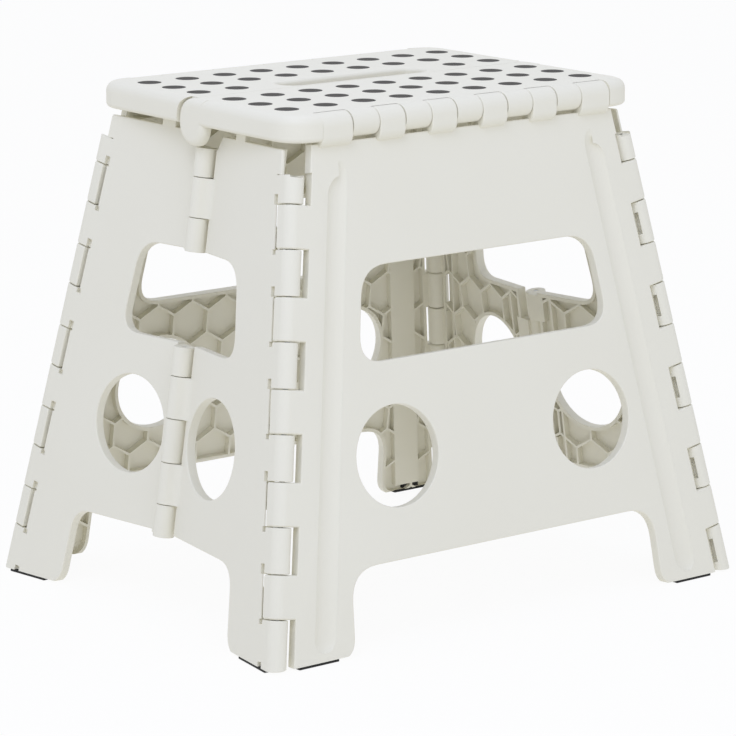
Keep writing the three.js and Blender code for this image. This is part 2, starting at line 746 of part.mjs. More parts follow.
function seatRear() {
  const ends = [-1, 1]
  const slot = grow => [slab(outline(bothSides([
    [slotHalfX + grow, -slotNearY + grow, slotRound], [slotHalfX + grow, -slotFarY - grow, slotRound],
  ]), flat), new THREE.Matrix4(), -seatHeight - overrun, -seatUnder + overrun)]
  const base = turned(seatBase(slot))
  const lobeRooms = ends.map(side =>
    bore(...lobeLine(side, lobeInner - lobeGap, seatEnd + overrun), lobeRadius + lobeGap, lobeSides))
  const lugs = ends.flatMap(side => {
    const [x0, x1] = [side * lugInner, side * lugOuter].sort((a, b) => a - b)
    const web = box(x0, x1, seamGap, lugRadius, pivotZ, seatUnder + overrun)
    return [barrel(...pivotLine(side, lugInner, lugOuter), lugRadius), web]
  })
  const pinLine = side => pivotLine(side, lugInner - overrun, lobeInner)
  const pinHoles = ends.map(side => bore(...pinLine(side), pivotPin + fitGap))
  return cutBy(joined([base.subtract(joined(lobeRooms)), ...lugs]), [...pinHoles, dotMoulding(true, fitGap)])
}

const pivotPinAt = side =>
  barrel(...pivotLine(side, pinOuter - pivotPinLength, pinOuter), pivotPin, pinSides)
const hingeRod = () => barrel(...hingeLine(-rodReach, rodReach), hingePin, pinSides)

// The stool as a scene graph: what the frames share is drawn once and placed by each mesh
const stool = new THREE.Group()

function place(parent, name, solid, frame, finish) {
  const own = moved(solid, frame.clone().invert())
  const mesh = new THREE.Mesh(geometryOf(own), new THREE.MeshStandardMaterial(finish))
  mesh.name = name
  frame.decompose(mesh.position, mesh.quaternion, mesh.scale)
  parent.add(mesh)
}

function addSeat() {
  const frame = new THREE.Matrix4().setPosition(at(0, 0, seatUnder))
  const front = new THREE.Group()
  const rear = new THREE.Group()
  place(front, 'seat_front', seatFront(), frame, shell)
  place(front, 'grip_dots_front', dotMoulding(false, 0), frame, grip)
  place(front, 'seat_hinge_rod_front', hingeRod(), frame, steel)
  place(front, 'pivot_pin_left', pivotPinAt(-1), frame, steel)
  place(front, 'pivot_pin_right', pivotPinAt(1), frame, steel)
  place(rear, 'seat_rear', seatRear(), frame, shell)
  place(rear, 'grip_dots_rear', dotMoulding(true, 0), frame, grip)
  place(rear, 'seat_hinge_rod_rear', turned(hingeRod()), frame, steel)
  stool.add(front, rear)
}

// The rear leg panel is the front one turned half round, and its left is the front one's right
function addLegs() {
  const panel = legPanel()
  for (const name of ['front', 'rear']) {
    const leg = new THREE.Group()
    leg.rotation.z = name === 'front' ? 0 : Math.PI
    place(leg, `leg_${name}`, panel, legFrame, shell)
    for (const side of [-1, 1]) {
      const isLeft = (side < 0) === (name === 'front')
      const end = isLeft ? 'left' : 'right'
      place(leg, `foot_pad_leg_${name}_${end}`, legPad(side), legFrame, rubber)
    }
    stool.add(leg)
  }
}

// The right end is the left one turned half round, so its front half holds the rods
function addEnds() {
  const loose = endHalf(-1, false)
  const holder = endHalf(1, true)
  for (const end of ['left', 'right']) {
    const group = new THREE.Group()
    group.rotation.z = end === 'left' ? 0 : Math.PI
    const [looseName, holderName] = end === 'left' ? ['front', 'rear'] : ['rear', 'front']
    place(group, `end_${end}_${looseName}`, loose, endFrame(-1), shell)
    place(group, `end_${end}_${holderName}`, holder, endFrame(1), shell)
    place(group, `foot_pad_end_${end}_${looseName}`, endPad(-1), endFrame(-1), rubber)
    place(group, `foot_pad_end_${end}_${holderName}`, endPad(1), endFrame(1), rubber)
    place(group, `corner_rod_${end}_${looseName}`, cornerRod(-1), endFrame(-1), steel)
    place(group, `corner_rod_${end}_${holderName}`, cornerRod(1), endFrame(1), steel)
    place(group, `middle_rod_${end}_upper`, middleRod(upperEnd, upperTop), endFrame(1), steel)
    place(group, `middle_rod_${end}_lower`, middleRod(lowerEnd, lowerTop), endFrame(1), steel)
    stool.add(group)
  }
}

addSeat()
addLegs()
addEnds()

export default stool
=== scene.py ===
"""Folding step stool: moulded shells, grip dots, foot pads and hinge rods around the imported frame.

Lengths are in metres. x runs along the seat, y to the rear and z up, from the middle of the footprint.
"""

import json
import logging
import math
from abc import ABC, abstractmethod
from collections.abc import Callable, Sequence
from dataclasses import dataclass
from enum import Enum
from typing import NamedTuple

import bmesh
import bpy
from mathutils import Matrix, Vector
from mathutils.geometry import tessellate_polygon

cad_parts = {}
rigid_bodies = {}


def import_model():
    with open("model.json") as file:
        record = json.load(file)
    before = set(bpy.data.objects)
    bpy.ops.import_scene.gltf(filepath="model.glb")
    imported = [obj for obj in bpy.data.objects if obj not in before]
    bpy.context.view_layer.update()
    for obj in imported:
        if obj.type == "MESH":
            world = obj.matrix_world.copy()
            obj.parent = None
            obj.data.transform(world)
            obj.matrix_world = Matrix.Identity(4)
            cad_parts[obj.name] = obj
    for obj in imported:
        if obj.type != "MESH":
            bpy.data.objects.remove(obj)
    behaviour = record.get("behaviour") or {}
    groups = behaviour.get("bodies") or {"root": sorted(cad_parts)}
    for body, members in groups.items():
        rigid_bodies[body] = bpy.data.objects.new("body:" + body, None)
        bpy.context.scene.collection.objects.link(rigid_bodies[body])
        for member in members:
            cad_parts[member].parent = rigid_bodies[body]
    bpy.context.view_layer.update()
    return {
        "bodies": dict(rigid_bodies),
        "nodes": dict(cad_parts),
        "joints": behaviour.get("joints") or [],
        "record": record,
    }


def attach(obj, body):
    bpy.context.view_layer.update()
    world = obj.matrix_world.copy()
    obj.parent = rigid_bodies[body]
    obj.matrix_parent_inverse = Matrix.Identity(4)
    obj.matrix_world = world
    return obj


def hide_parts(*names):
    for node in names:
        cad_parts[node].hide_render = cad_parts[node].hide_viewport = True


MM = 0.001
OVERRUN = 2 * MM
UP = Vector((0, 0, 1))
MIDDLE = Vector((0, 0))
UNTURNED = Matrix.Identity(4)
HALF_TURN = Matrix.Rotation(math.pi, 4, "Z")
FIFTHS = [index / 5 for index in range(6)]
log = logging.getLogger("stool")

# Cutters reach this far to each side, and those of the seat go from the one height to the other.
REACH = 300 * MM
UNDER_SEAT = 300 * MM
OVER_SEAT = 500 * MM

# At a sharp corner, an edge that moves sideways takes the corner no further than its way over this share.
SHARPEST_SHARE = 0.4

# A finished mesh has its points merged within this distance, and is shaded smooth up to this angle.
MERGE = 0.002 * MM
SMOOTH_ANGLE = math.radians(38)

Loop = list[Vector]
Place = Callable[[float, float], Vector]
Pair = tuple[float, float]
Tint = tuple[float, float, float]
Socket = bpy.types.NodeSocket


class Operation(Enum):
    """How a second solid changes the first one."""

    JOIN = "UNION"
    CUT = "DIFFERENCE"
    KEEP = "INTERSECT"


class Corner(NamedTuple):
    """A corner of an outline: its place, and how far from it the rounding starts."""

    across: float
    height: float
    run: float = 0.0


class Station(NamedTuple):
    """A section of a prism: its height, and how far its outline is drawn in there."""

    height: float
    inset: float


def rounded_loop(corners: Sequence[Corner], place: Place, steps: int = 8) -> Loop:
    """Draws an outline with rounded corners.

    Args:
        corners: The outline's corners in order.
        place: Puts a corner's two values into the plane of the outline.
        steps: How many pieces each rounding has.

    Returns:
        The outline's points, counter-clockwise.
    """
    points = [place(corner.across, corner.height) for corner in corners]
    loop: Loop = []
    for index, corner in enumerate(corners):
        point = points[index]
        if corner.run <= 0:
            loop.append(point)
            continue
        before = points[index - 1]
        after = points[(index + 1) % len(points)]
        start = point + (before - point).normalized() * corner.run
        end = point + (after - point).normalized() * corner.run
        for step in range(steps + 1):
            t = step / steps
            loop.append(start * (1 - t) ** 2 + point * (2 * t * (1 - t)) + end * t**2)
    return counter_clockwise(loop)


def mirrored(corners: Sequence[Corner]) -> list[Corner]:
    """Completes a symmetric outline from its right half."""
    left = [Corner(-corner.across, corner.height, corner.run) for corner in reversed(corners)]
    return [*corners, *left]


def circle_loop(centre: Vector, radius: float, count: int = 48) -> Loop:
    """Gives the points of a circle, counter-clockwise."""
    angles = [2 * math.pi * index / count for index in range(count)]
    return [centre + radius * Vector((math.cos(angle), math.sin(angle))) for angle in angles]


def arc_points(centre: Vector, radius: float, start: float, end: float, count: int) -> Loop:
    """Gives points along an arc between two angles in degrees."""
    angles = [math.radians(start + (end - start) * index / count) for index in range(count + 1)]
    return [centre + radius * Vector((math.cos(angle), math.sin(angle))) for angle in angles]


def bow(start: Vector, bend: Vector, end: Vector, shares: Sequence[float]) -> Loop:
    """Gives points along a curve between two points that leans towards a third.

    Args:
        start: Where the curve starts.
        bend: The point that it leans towards.
        end: Where it ends.
        shares: How far along the curve each point lies, from 0 to 1.

    Returns:
        The points.
    """
    return [start * (1 - t) ** 2 + bend * 2 * t * (1 - t) + end * t**2 for t in shares]


def rectangle(left: float, low: float, right: float, high: float) -> Loop:
    """Gives the corners of a rectangle, counter-clockwise."""
    return [Vector((left, low)), Vector((right, low)), Vector((right, high)), Vector((left, high))]


def as_drawn(x: float, y: float) -> Vector:
    """Gives a point of an outline that is drawn in its own plane."""
    return Vector((x, y))


def signed_area(loop: Loop) -> float:
    """Gives a loop's area, which is negative when it runs clockwise."""
    return sum(loop[i - 1].cross(loop[i]) for i in range(len(loop))) / 2


def counter_clockwise(loop: Loop) -> Loop:
    """Turns a loop to run counter-clockwise."""
    return loop if signed_area(loop) > 0 else loop[::-1]


def inset_loop(loop: Loop, distance: float) -> Loop:
    """Moves a loop sideways, to the left of its own direction.

    Args:
        loop: The points of the loop.
        distance: How far each edge moves.

    Returns:
        A loop with as many points.
    """
    if distance == 0:
        return list(loop)
    moved: Loop = []
    for index, point in enumerate(loop):
        into = (point - loop[index - 1]).normalized()
        out = (loop[(index + 1) % len(loop)] - point).normalized()
        sideways = Vector((-into.y - out.y, into.x + out.x))
        sideways.normalize()
        spread = max(sideways.dot(Vector((-out.y, out.x))), SHARPEST_SHARE)
        moved.append(point + sideways * (distance / spread))
    return moved


def rounded_ends(
    low: float, high: float, low_round: float, high_round: float, steps: int = 4
) -> list[Station]:
    """Lists the sections of a prism whose end edges are rounded.

    Args:
        low: The lower end's height.
        high: The upper end's height.
        low_round: The radius of the lower edge.
        high_round: The radius of the upper edge.
        steps: How many pieces each rounding has.

    Returns:
        The sections from the lower end to the upper one.
    """
    turns = [math.pi / 2 * index / steps for index in range(steps + 1)]
    lower = [Station(low + low_round * (1 - math.cos(a)), low_round * (1 - math.sin(a))) for a in turns]
    upper = [Station(high - high_round * (1 - math.cos(a)), high_round * (1 - math.sin(a))) for a in turns]
    start = lower if low_round > 0 else [Station(low, 0)]
    end = upper[::-1] if high_round > 0 else [Station(high, 0)]
    return [*start, *end]


def flared_top(low: float, face: float, flare: float, steps: int = 4) -> list[Station]:
    """Lists the sections of a cutter that rounds the mouth of its hole at a face.

    Args:
        low: The cutter's lower end.
        face: The height of the face.
        flare: The radius of the mouth's edge.
        steps: How many pieces the rounding has.

    Returns:
        The sections from the lower end to the upper one.
    """
    turns = [math.pi / 2 * index / steps for index in range(steps + 1)]
    mouth = [Station(face - flare * (1 - math.sin(a)), -flare * (1 - math.cos(a))) for a in turns]
    return [Station(low, 0), *mouth, Station(face + OVERRUN, -flare)]


def axes_frame(x_axis: Vector, y_axis: Vector, z_axis: Vector, origin: Vector) -> Matrix:
    """Builds the matrix of a frame from its axes and origin.

    Args:
        x_axis: Its x axis.
        y_axis: Its y axis.
        z_axis: Its z axis.
        origin: Its origin.

    Returns:
        The matrix.
    """
    frame = Matrix((x_axis, y_axis, z_axis)).transposed().to_4x4()
    frame.translation = origin
    return frame


# Outlines in this frame are drawn in y and z, and x is their depth.
SIDE_VIEW = axes_frame(Vector((0, 1, 0)), UP, Vector((1, 0, 0)), Vector((0, 0, 0)))


def panel_frame(origin: Vector, outward: Vector) -> Matrix:
    """Builds a panel's frame: x across it, y up its slope and z out of its outer face."""
    slope = (UP - outward * UP.dot(outward)).normalized()
    return axes_frame(slope.cross(outward), slope, outward, origin)


def on_face(frame: Matrix, point: Vector, direction: Vector) -> Vector:
    """Slides a point along a direction onto a panel's face.

    Args:
        frame: The panel's frame.
        point: The point in the stool's frame.
        direction: The way it slides.

    Returns:
        Its two coordinates in the panel's frame.
    """
    inverse = frame.inverted()
    local = inverse @ point
    slide = inverse.to_3x3() @ direction
    run = local.z / slide.z
    return Vector((local.x - slide.x * run, local.y - slide.y * run))


class Solid:
    """A closed mesh that other solids can be joined to or cut from."""

    def __init__(self, mesh: bpy.types.Mesh) -> None:
        """Holds a mesh as a solid."""
        self.mesh = mesh

    @classmethod
    def closed(cls, points: Sequence[Vector], faces: Sequence[tuple[int, ...]]) -> "Solid":
        """Makes a solid from points and faces, with its faces turned outwards.

        Args:
            points: The corners of the faces.
            faces: The numbers of each face's points.

        Returns:
            The solid.
        """
        mesh = bpy.data.meshes.new("solid")
        mesh.from_pydata(list(points), [], list(faces))
        work = bmesh.new()
        work.from_mesh(mesh)
        bmesh.ops.recalc_face_normals(work, faces=work.faces)
        if work.calc_volume(signed=True) < 0:
            bmesh.ops.reverse_faces(work, faces=work.faces)
        work.to_mesh(mesh)
        work.free()
        return cls(mesh)

    @classmethod
    def prism(cls, loops: Sequence[Loop], frame: Matrix, stations: Sequence[Station]) -> "Solid":
        """Builds a prism with holes whose sections follow one outline.

        Args:
            loops: The outer outline and the outlines of its holes, all counter-clockwise.
            frame: The frame in which the outlines lie, with the prism along z.
            stations: The sections from the lower end to the upper one.

        Returns:
            The prism.
        """
        around = [loops[0], *[loop[::-1] for loop in loops[1:]]]
        sections = [[inset_loop(loop, station.inset) for loop in around] for station in stations]
        points = [
            frame @ Vector((point.x, point.y, station.height))
            for station, section in zip(stations, sections)
            for loop in section
            for point in loop
        ]
        size = sum(len(loop) for loop in around)
        faces: list[tuple[int, ...]] = []
        for level in range(len(stations) - 1):
            start = level * size
            for loop in around:
                count = len(loop)
                for index in range(count):
                    after = (index + 1) % count
                    low = (start + index, start + after)
                    faces.append((*low, low[1] + size, low[0] + size))
                start += count
        for section, base in ((sections[0], 0), (sections[-1], size * (len(stations) - 1))):
            for triangle in tessellate_polygon([[point.to_3d() for point in loop] for loop in section]):
                faces.append(tuple(base + index for index in triangle))
        return cls.closed(points, faces)

    @classmethod
    def box(cls, low: Vector, high: Vector) -> "Solid":
        """Builds an upright box between two corners."""
        loop = rectangle(low.x, low.y, high.x, high.y)
        return cls.prism([loop], UNTURNED, [Station(low.z, 0), Station(high.z, 0)])

    def combined(self, others: Sequence["Solid"], operation: Operation) -> "Solid":
        """Joins, cuts or keeps this solid with others, one after another.

        Args:
            others: The other solids.
            operation: How each of them changes this one.

        Returns:
            The new solid.
        """
        body = bpy.data.objects.new("body", self.mesh)
        scene = bpy.context.scene.collection
        scene.objects.link(body)
        tools = []
        for other in others:
            tool = bpy.data.objects.new("tool", other.mesh)
            scene.objects.link(tool)
            tools.append(tool)
            modifier = body.modifiers.new("combine", "BOOLEAN")
            modifier.operation = operation.value
            modifier.solver = "MANIFOLD"
            modifier.object = tool
        mesh = plain_mesh(body)
        for item in (body, *tools):
            bpy.data.objects.remove(item)
        return Solid(mesh)

    def plus(self, *others: "Solid") -> "Solid":
        """Joins others to this solid."""
        return self.combined(others, Operation.JOIN)

    def minus(self, *others: "Solid") -> "Solid":
        """Cuts others out of this solid."""
        return self.combined(others, Operation.CUT)

    def within(self, *others: "Solid") -> "Solid":
        """Keeps what lies inside all the others."""
        return self.combined(others, Operation.KEEP)

    def moved(self, matrix: Matrix) -> "Solid":
        """Gives a copy of this solid in another place.

        Args:
            matrix: What moves it there.

        Returns:
            The moved copy.
        """
        mesh = self.mesh.copy()
        mesh.transform(matrix)
        return Solid(mesh)


def plain_mesh(item: bpy.types.Object) -> bpy.types.Mesh:
    """Gives an object's mesh with its modifiers worked in."""
    graph = bpy.context.evaluated_depsgraph_get()
    return bpy.data.meshes.new_from_object(item.evaluated_get(graph))


def barrel(start: Vector, end: Vector, radius: float, edge: float = 0.0, count: int = 32) -> Solid:
    """Builds a round bar between two points.

    Args:
        start: The middle of its one end.
        end: The middle of its other end.
        radius: Its radius.
        edge: How much its end edges are rounded.
        count: How many flats go round it.

    Returns:
        The bar.
    """
    axis = (end - start).normalized()
    side = axis.orthogonal().normalized()
    frame = axes_frame(side, axis.cross(side), axis, start)
    ends = rounded_ends(0, (end - start).length, edge, edge)
    return Solid.prism([circle_loop(MIDDLE, radius, count)], frame, ends)


@dataclass(frozen=True)
class Span:
    """A stretch of a hinge's axis, beside the panel that it belongs to."""

    start: Vector
    end: Vector
    panel: Matrix
    into: Vector

    @property
    def frame(self) -> Matrix:
        """Gives the frame in its middle: x into the panel, y out of its face and z along the hinge.

        Returns:
            The frame's matrix.
        """
        axis = (self.end - self.start).normalized()
        outward = self.panel.to_3x3() @ UP
        in_plane = outward.cross(axis).normalized()
        if in_plane.dot(self.into) < 0:
            in_plane.negate()
        normal = axis.cross(in_plane)
        if normal.dot(outward) < 0:
            normal.negate()
        return axes_frame(in_plane, normal, in_plane.cross(normal), (self.start + self.end) / 2)

    @property
    def half(self) -> float:
        """Gives half its length."""
        return (self.end - self.start).length / 2

    def prism(self, loop: Loop, low: float, high: float, edge: float = 0.0, steps: int = 3) -> Solid:
        """Builds a prism along the axis.

        Args:
            loop: Its outline in the hinge's frame, counter-clockwise.
            low: Its lower end, measured from the middle.
            high: Its upper end.
            edge: How much its end edges are rounded.
            steps: How many pieces each rounding has.

        Returns:
            The prism.
        """
        return Solid.prism([loop], self.frame, rounded_ends(low, high, edge, edge, steps))


class NodeGraph:
    """A geometry node tree under construction."""

    def __init__(self, name: str) -> None:
        """Starts an empty tree."""
        self.tree = bpy.data.node_groups.new(name, "GeometryNodeTree")
        self.entry = self.tree.nodes.new("NodeGroupInput")

    def inputs(self, kinds: dict[str, str]) -> list[Socket]:
        """Adds named inputs.

        Args:
            kinds: The name of each input and its kind of value.

        Returns:
            Their sockets, in the same order.
        """
        for name, kind in kinds.items():
            self.tree.interface.new_socket(name, in_out="INPUT", socket_type=f"NodeSocket{kind}")
        return [self.entry.outputs[name] for name in kinds]

    def node(self, kind: str) -> bpy.types.Node:
        """Adds a node."""
        return self.tree.nodes.new(kind)

    def link(self, source: Socket, target: Socket) -> None:
        """Joins two sockets."""
        self.tree.links.new(source, target)

    def math(self, operation: str, *terms: Socket | float) -> Socket:
        """Adds a math node.

        Args:
            operation: What it works out.
            terms: The sockets or numbers that it works on.

        Returns:
            The socket of its result.
        """
        made = self.node("ShaderNodeMath")
        made.operation = operation
        for target, term in zip(made.inputs, terms):
            if isinstance(term, Socket):
                self.link(term, target)
            else:
                target.default_value = term
        return made.outputs[0]

    def grid(self, columns: Socket, rows: Socket, pitch_x: Socket, pitch_y: Socket) -> tuple[Socket, Socket]:
        """Adds a grid of points with the origin in its middle.

        Args:
            columns: How many points it has along x.
            rows: How many points it has along y.
            pitch_x: The step from column to column.
            pitch_y: The step from row to row.

        Returns:
            The points, and how far the grid reaches along y.
        """
        grid = self.node("GeometryNodeMeshGrid")
        for axis, count, pitch in (("X", columns, pitch_x), ("Y", rows, pitch_y)):
            size = self.math("MULTIPLY", pitch, self.math("SUBTRACT", count, 1.0))
            self.link(count, grid.inputs[f"Vertices {axis}"])
            self.link(size, grid.inputs[f"Size {axis}"])
        return grid.outputs["Mesh"], size

    def position(self, axis: str) -> Socket:
        """Gives one coordinate of each point.

        Args:
            axis: The coordinate's name.

        Returns:
            The coordinate's socket.
        """
        split = self.node("ShaderNodeSeparateXYZ")
        self.link(self.node("GeometryNodeInputPosition").outputs[0], split.inputs[0])
        return split.outputs[axis]

    def shifted(self, points: Socket, axis: str, distance: Socket) -> Socket:
        """Moves points along an axis.

        Args:
            points: The points.
            axis: The axis's name.
            distance: How far each point moves.

        Returns:
            The moved points.
        """
        offset = self.node("ShaderNodeCombineXYZ")
        self.link(distance, offset.inputs[axis])
        shift = self.node("GeometryNodeSetPosition")
        self.link(points, shift.inputs["Geometry"])
        self.link(offset.outputs[0], shift.inputs["Offset"])
        return shift.outputs[0]

    def scattered(self, points: Socket, shape: Socket, turn: float = 0.0) -> Socket:
        """Sets a shape on each point.

        Args:
            points: The points.
            shape: The shape.
            turn: The shape's turn about z, in radians.

        Returns:
            All the shapes.
        """
        scatter = self.node("GeometryNodeInstanceOnPoints")
        scatter.inputs["Rotation"].default_value = (0, 0, turn)
        self.link(points, scatter.inputs["Points"])
        self.link(shape, scatter.inputs["Instance"])
        return scatter.outputs[0]

    def finish(self, geometry: Socket, finish: Socket) -> None:
        """Realizes the instances, sets the material and ends the tree.

        Args:
            geometry: What the tree has made.
            finish: The material.
        """
        realize = self.node("GeometryNodeRealizeInstances")
        dress = self.node("GeometryNodeSetMaterial")
        self.tree.interface.new_socket("Geometry", in_out="OUTPUT", socket_type="NodeSocketGeometry")
        leave = self.node("NodeGroupOutput")
        self.link(geometry, realize.inputs[0])
        self.link(realize.outputs[0], dress.inputs["Geometry"])
        self.link(finish, dress.inputs["Material"])
        self.link(dress.outputs[0], leave.inputs[0])

    def run(self, values: dict[str, object]) -> bpy.types.Mesh:
        """Runs the tree on an empty object.

        Args:
            values: What each named input gets.

        Returns:
            The plain mesh that the tree makes.
        """
        holder = bpy.data.objects.new("pattern", bpy.data.meshes.new("pattern"))
        bpy.context.scene.collection.objects.link(holder)
        modifier = holder.modifiers.new("pattern", "NODES")
        modifier.node_group = self.tree
        for item in self.tree.interface.items_tree:
            if item.item_type == "SOCKET" and item.in_out == "INPUT":
                modifier[item.identifier] = values[item.name]
        mesh = plain_mesh(holder)
        bpy.data.objects.remove(holder)
        return mesh


@dataclass(frozen=True)
class Honeycomb:
    """Hexagonal cells with ribs between them, as one cutter."""

    pitch: float = 33 * MM
    rib: float = 2 * MM

    def graph(self) -> NodeGraph:
        """Builds the node tree that sets hexagons on staggered rows.

        Returns:
            The tree.
        """
        graph = NodeGraph("Honeycomb cells")
        pitch, rib, depth, columns, rows, finish = graph.inputs({
            "Pitch": "Float", "Rib": "Float", "Depth": "Float",
            "Columns": "Int", "Rows": "Int", "Finish": "Material",
        })
        row_pitch = graph.math("MULTIPLY", pitch, math.sqrt(3) / 2)
        points, _ = graph.grid(columns, rows, pitch, row_pitch)
        # An even number of rows is added, so that rows below the middle have a number above zero too.
        even_rows = 100.0
        row = graph.math("ADD", graph.math("DIVIDE", graph.position("Y"), row_pitch), even_rows)
        is_odd = graph.math("MODULO", graph.math("ROUND", row), 2.0)
        stagger = graph.math("MULTIPLY", is_odd, graph.math("MULTIPLY", pitch, 0.5))
        cell = graph.node("GeometryNodeMeshCylinder")
        cell.inputs["Vertices"].default_value = 6
        radius = graph.math("DIVIDE", graph.math("SUBTRACT", pitch, rib), math.sqrt(3))
        graph.link(radius, cell.inputs["Radius"])
        graph.link(depth, cell.inputs["Depth"])
        points = graph.shifted(points, "X", stagger)
        graph.finish(graph.scattered(points, cell.outputs["Mesh"], math.pi / 6), finish)
        return graph

    def cells(self, frame: Matrix, width: float, height: float, centre: Vector, depth: float) -> Solid:
        """Makes the cells that cover a field.

        Args:
            frame: The frame of the panel.
            width: The field's width.
            height: The field's height.
            centre: The field's middle, with the cells' middle depth as its z.
            depth: How deep the cells are.

        Returns:
            The cells as one solid.
        """
        mesh = self.graph().run({
            "Pitch": self.pitch,
            "Rib": self.rib,
            "Depth": depth,
            "Columns": 2 * math.ceil(width / self.pitch / 2) + 3,
            "Rows": 2 * math.ceil(height / self.pitch / math.sqrt(3)) + 3,
            "Finish": None,
        })
        mesh.transform(frame @ Matrix.Translation(centre))
        return Solid(mesh)


class Surface:
    """A node material under construction."""

    def __init__(self, name: str) -> None:
        """Starts a material with one plain shader.

        Args:
            name: The material's name.
        """
        self.material = bpy.data.materials.new(name)
        self.material.use_nodes = True
        self.nodes = self.material.node_tree.nodes
        self.links = self.material.node_tree.links
        self.shader = self.nodes["Principled BSDF"]

    def texture(self, kind: str, per_metre: float) -> bpy.types.Node:
        """Adds a texture that is fixed to the piece.

        Args:
            kind: The kind of its node.
            per_metre: How many features it has per metre.

        Returns:
            The texture's node.
        """
        coords = self.nodes.new("ShaderNodeTexCoord")
        made = self.nodes.new(kind)
        made.inputs["Scale"].default_value = per_metre
        self.links.new(coords.outputs["Object"], made.inputs["Vector"])
        return made

    def noise(self, per_metre: float, layers: float) -> Socket:
        """Adds a noise.

        Args:
            per_metre: How many features it has per metre.
            layers: How many finer layers it has.

        Returns:
            The socket of its height.
        """
        made = self.texture("ShaderNodeTexNoise", per_metre)
        made.inputs["Detail"].default_value = layers
        return made.outputs["Fac"]

    def tint(self, share: Socket, low: Tint, high: Tint) -> None:
        """Colours the surface between two tints.

        Args:
            share: How much there is of the second tint.
            low: The first tint.
            high: The second tint.
        """
        mix = self.nodes.new("ShaderNodeMix")
        mix.data_type = "RGBA"
        mix.inputs["A"].default_value = (*low, 1)
        mix.inputs["B"].default_value = (*high, 1)
        self.links.new(share, mix.inputs["Factor"])
        self.links.new(mix.outputs["Result"], self.shader.inputs["Base Color"])

    def gloss(self, share: Socket, low: float, high: float) -> None:
        """Spreads the roughness between two values.

        Args:
            share: How far each point is from the first value to the second.
            low: The first value.
            high: The second value.
        """
        spread = self.nodes.new("ShaderNodeMapRange")
        spread.inputs["To Min"].default_value = low
        spread.inputs["To Max"].default_value = high
        self.links.new(share, spread.inputs["Value"])
        self.links.new(spread.outputs["Result"], self.shader.inputs["Roughness"])

    def bump(self, height: Socket, distance: float, strength: float = 0.6) -> None:
        """Roughens the surface by a height pattern.

        Args:
            height: The pattern's height, from 0 to 1.
            distance: How far a height of 1 stands out.
            strength: How much of the pattern shows.
        """
        bump = self.nodes.new("ShaderNodeBump")
        bump.inputs["Strength"].default_value = strength
        bump.inputs["Distance"].default_value = distance
        self.links.new(height, bump.inputs["Height"])
        self.links.new(bump.outputs["Normal"], self.shader.inputs["Normal"])


@dataclass(frozen=True)
class MouldedShell:
    """Warm white moulded plastic with a fine satin grain and a faint flow variation."""

    colour: Tint = (0.815, 0.790, 0.668)
    shade: Tint = (0.790, 0.762, 0.636)
    roughness: Pair = (0.45, 0.59)
    refraction: float = 1.49
    flows_per_metre: float = 9.0
    flow_layers: float = 3.0
    grains_per_metre: float = 1400.0
    grain_layers: float = 2.0
    grain_height: float = 0.02 * MM

    def material(self) -> bpy.types.Material:
        """Builds the material.

        Returns:
            The material.
        """
        surface = Surface("moulded_shell")
        surface.tint(surface.noise(self.flows_per_metre, self.flow_layers), self.shade, self.colour)
        grain = surface.noise(self.grains_per_metre, self.grain_layers)
        surface.gloss(grain, *self.roughness)
        surface.bump(grain, self.grain_height)
        surface.shader.inputs["IOR"].default_value = self.refraction
        return surface.material


@dataclass(frozen=True)
class SoftRubber:
    """Matt elastomer with a pebbled surface."""

    name: str
    colour: Tint
    fleck: Tint
    roughness: float = 0.62
    sheen: float = 0.22
    flecks_per_metre: float = 160.0
    fleck_layers: float = 4.0
    pebbles_per_metre: float = 2200.0
    pebble_height: float = 0.05 * MM

    def material(self) -> bpy.types.Material:
        """Builds the material.

        Returns:
            The material.
        """
        surface = Surface(self.name)
        surface.tint(surface.noise(self.flecks_per_metre, self.fleck_layers), self.colour, self.fleck)
        surface.shader.inputs["Roughness"].default_value = self.roughness
        surface.shader.inputs["Specular IOR Level"].default_value = self.sheen
        pebbles = surface.texture("ShaderNodeTexVoronoi", self.pebbles_per_metre)
        surface.bump(pebbles.outputs["Distance"], self.pebble_height)
        return surface.material


@dataclass(frozen=True)
class DrawnWire:
    """Plain steel wire with fine drawing marks."""

    colour: Tint = (0.52, 0.53, 0.54)
    roughness: Pair = (0.24, 0.46)
    marks_per_metre: float = 900.0
    mark_layers: float = 5.0
    mark_height: float = 0.01 * MM

    def material(self) -> bpy.types.Material:
        """Builds the material.

        Returns:
            The material.
        """
        surface = Surface("drawn_wire")
        marks = surface.noise(self.marks_per_metre, self.mark_layers)
        surface.gloss(marks, *self.roughness)
        surface.shader.inputs["Base Color"].default_value = (*self.colour, 1)
        surface.shader.inputs["Metallic"].default_value = 1.0
        surface.bump(marks, self.mark_height)
        return surface.material


@dataclass(frozen=True)
class Finishes:
    """The materials of the stool's pieces."""

    shell: bpy.types.Material
    grip: bpy.types.Material
    pad: bpy.types.Material
    wire: bpy.types.Material

    @classmethod
    def made(cls) -> "Finishes":
        """Makes all four materials.

        Returns:
            The materials.
        """
        grip = SoftRubber("grip_rubber", (0.028, 0.026, 0.023), (0.044, 0.040, 0.036))
        pad = SoftRubber("pad_rubber", (0.012, 0.012, 0.012), (0.022, 0.021, 0.020), 0.55)
        return cls(MouldedShell().material(), grip.material(), pad.material(), DrawnWire().material())


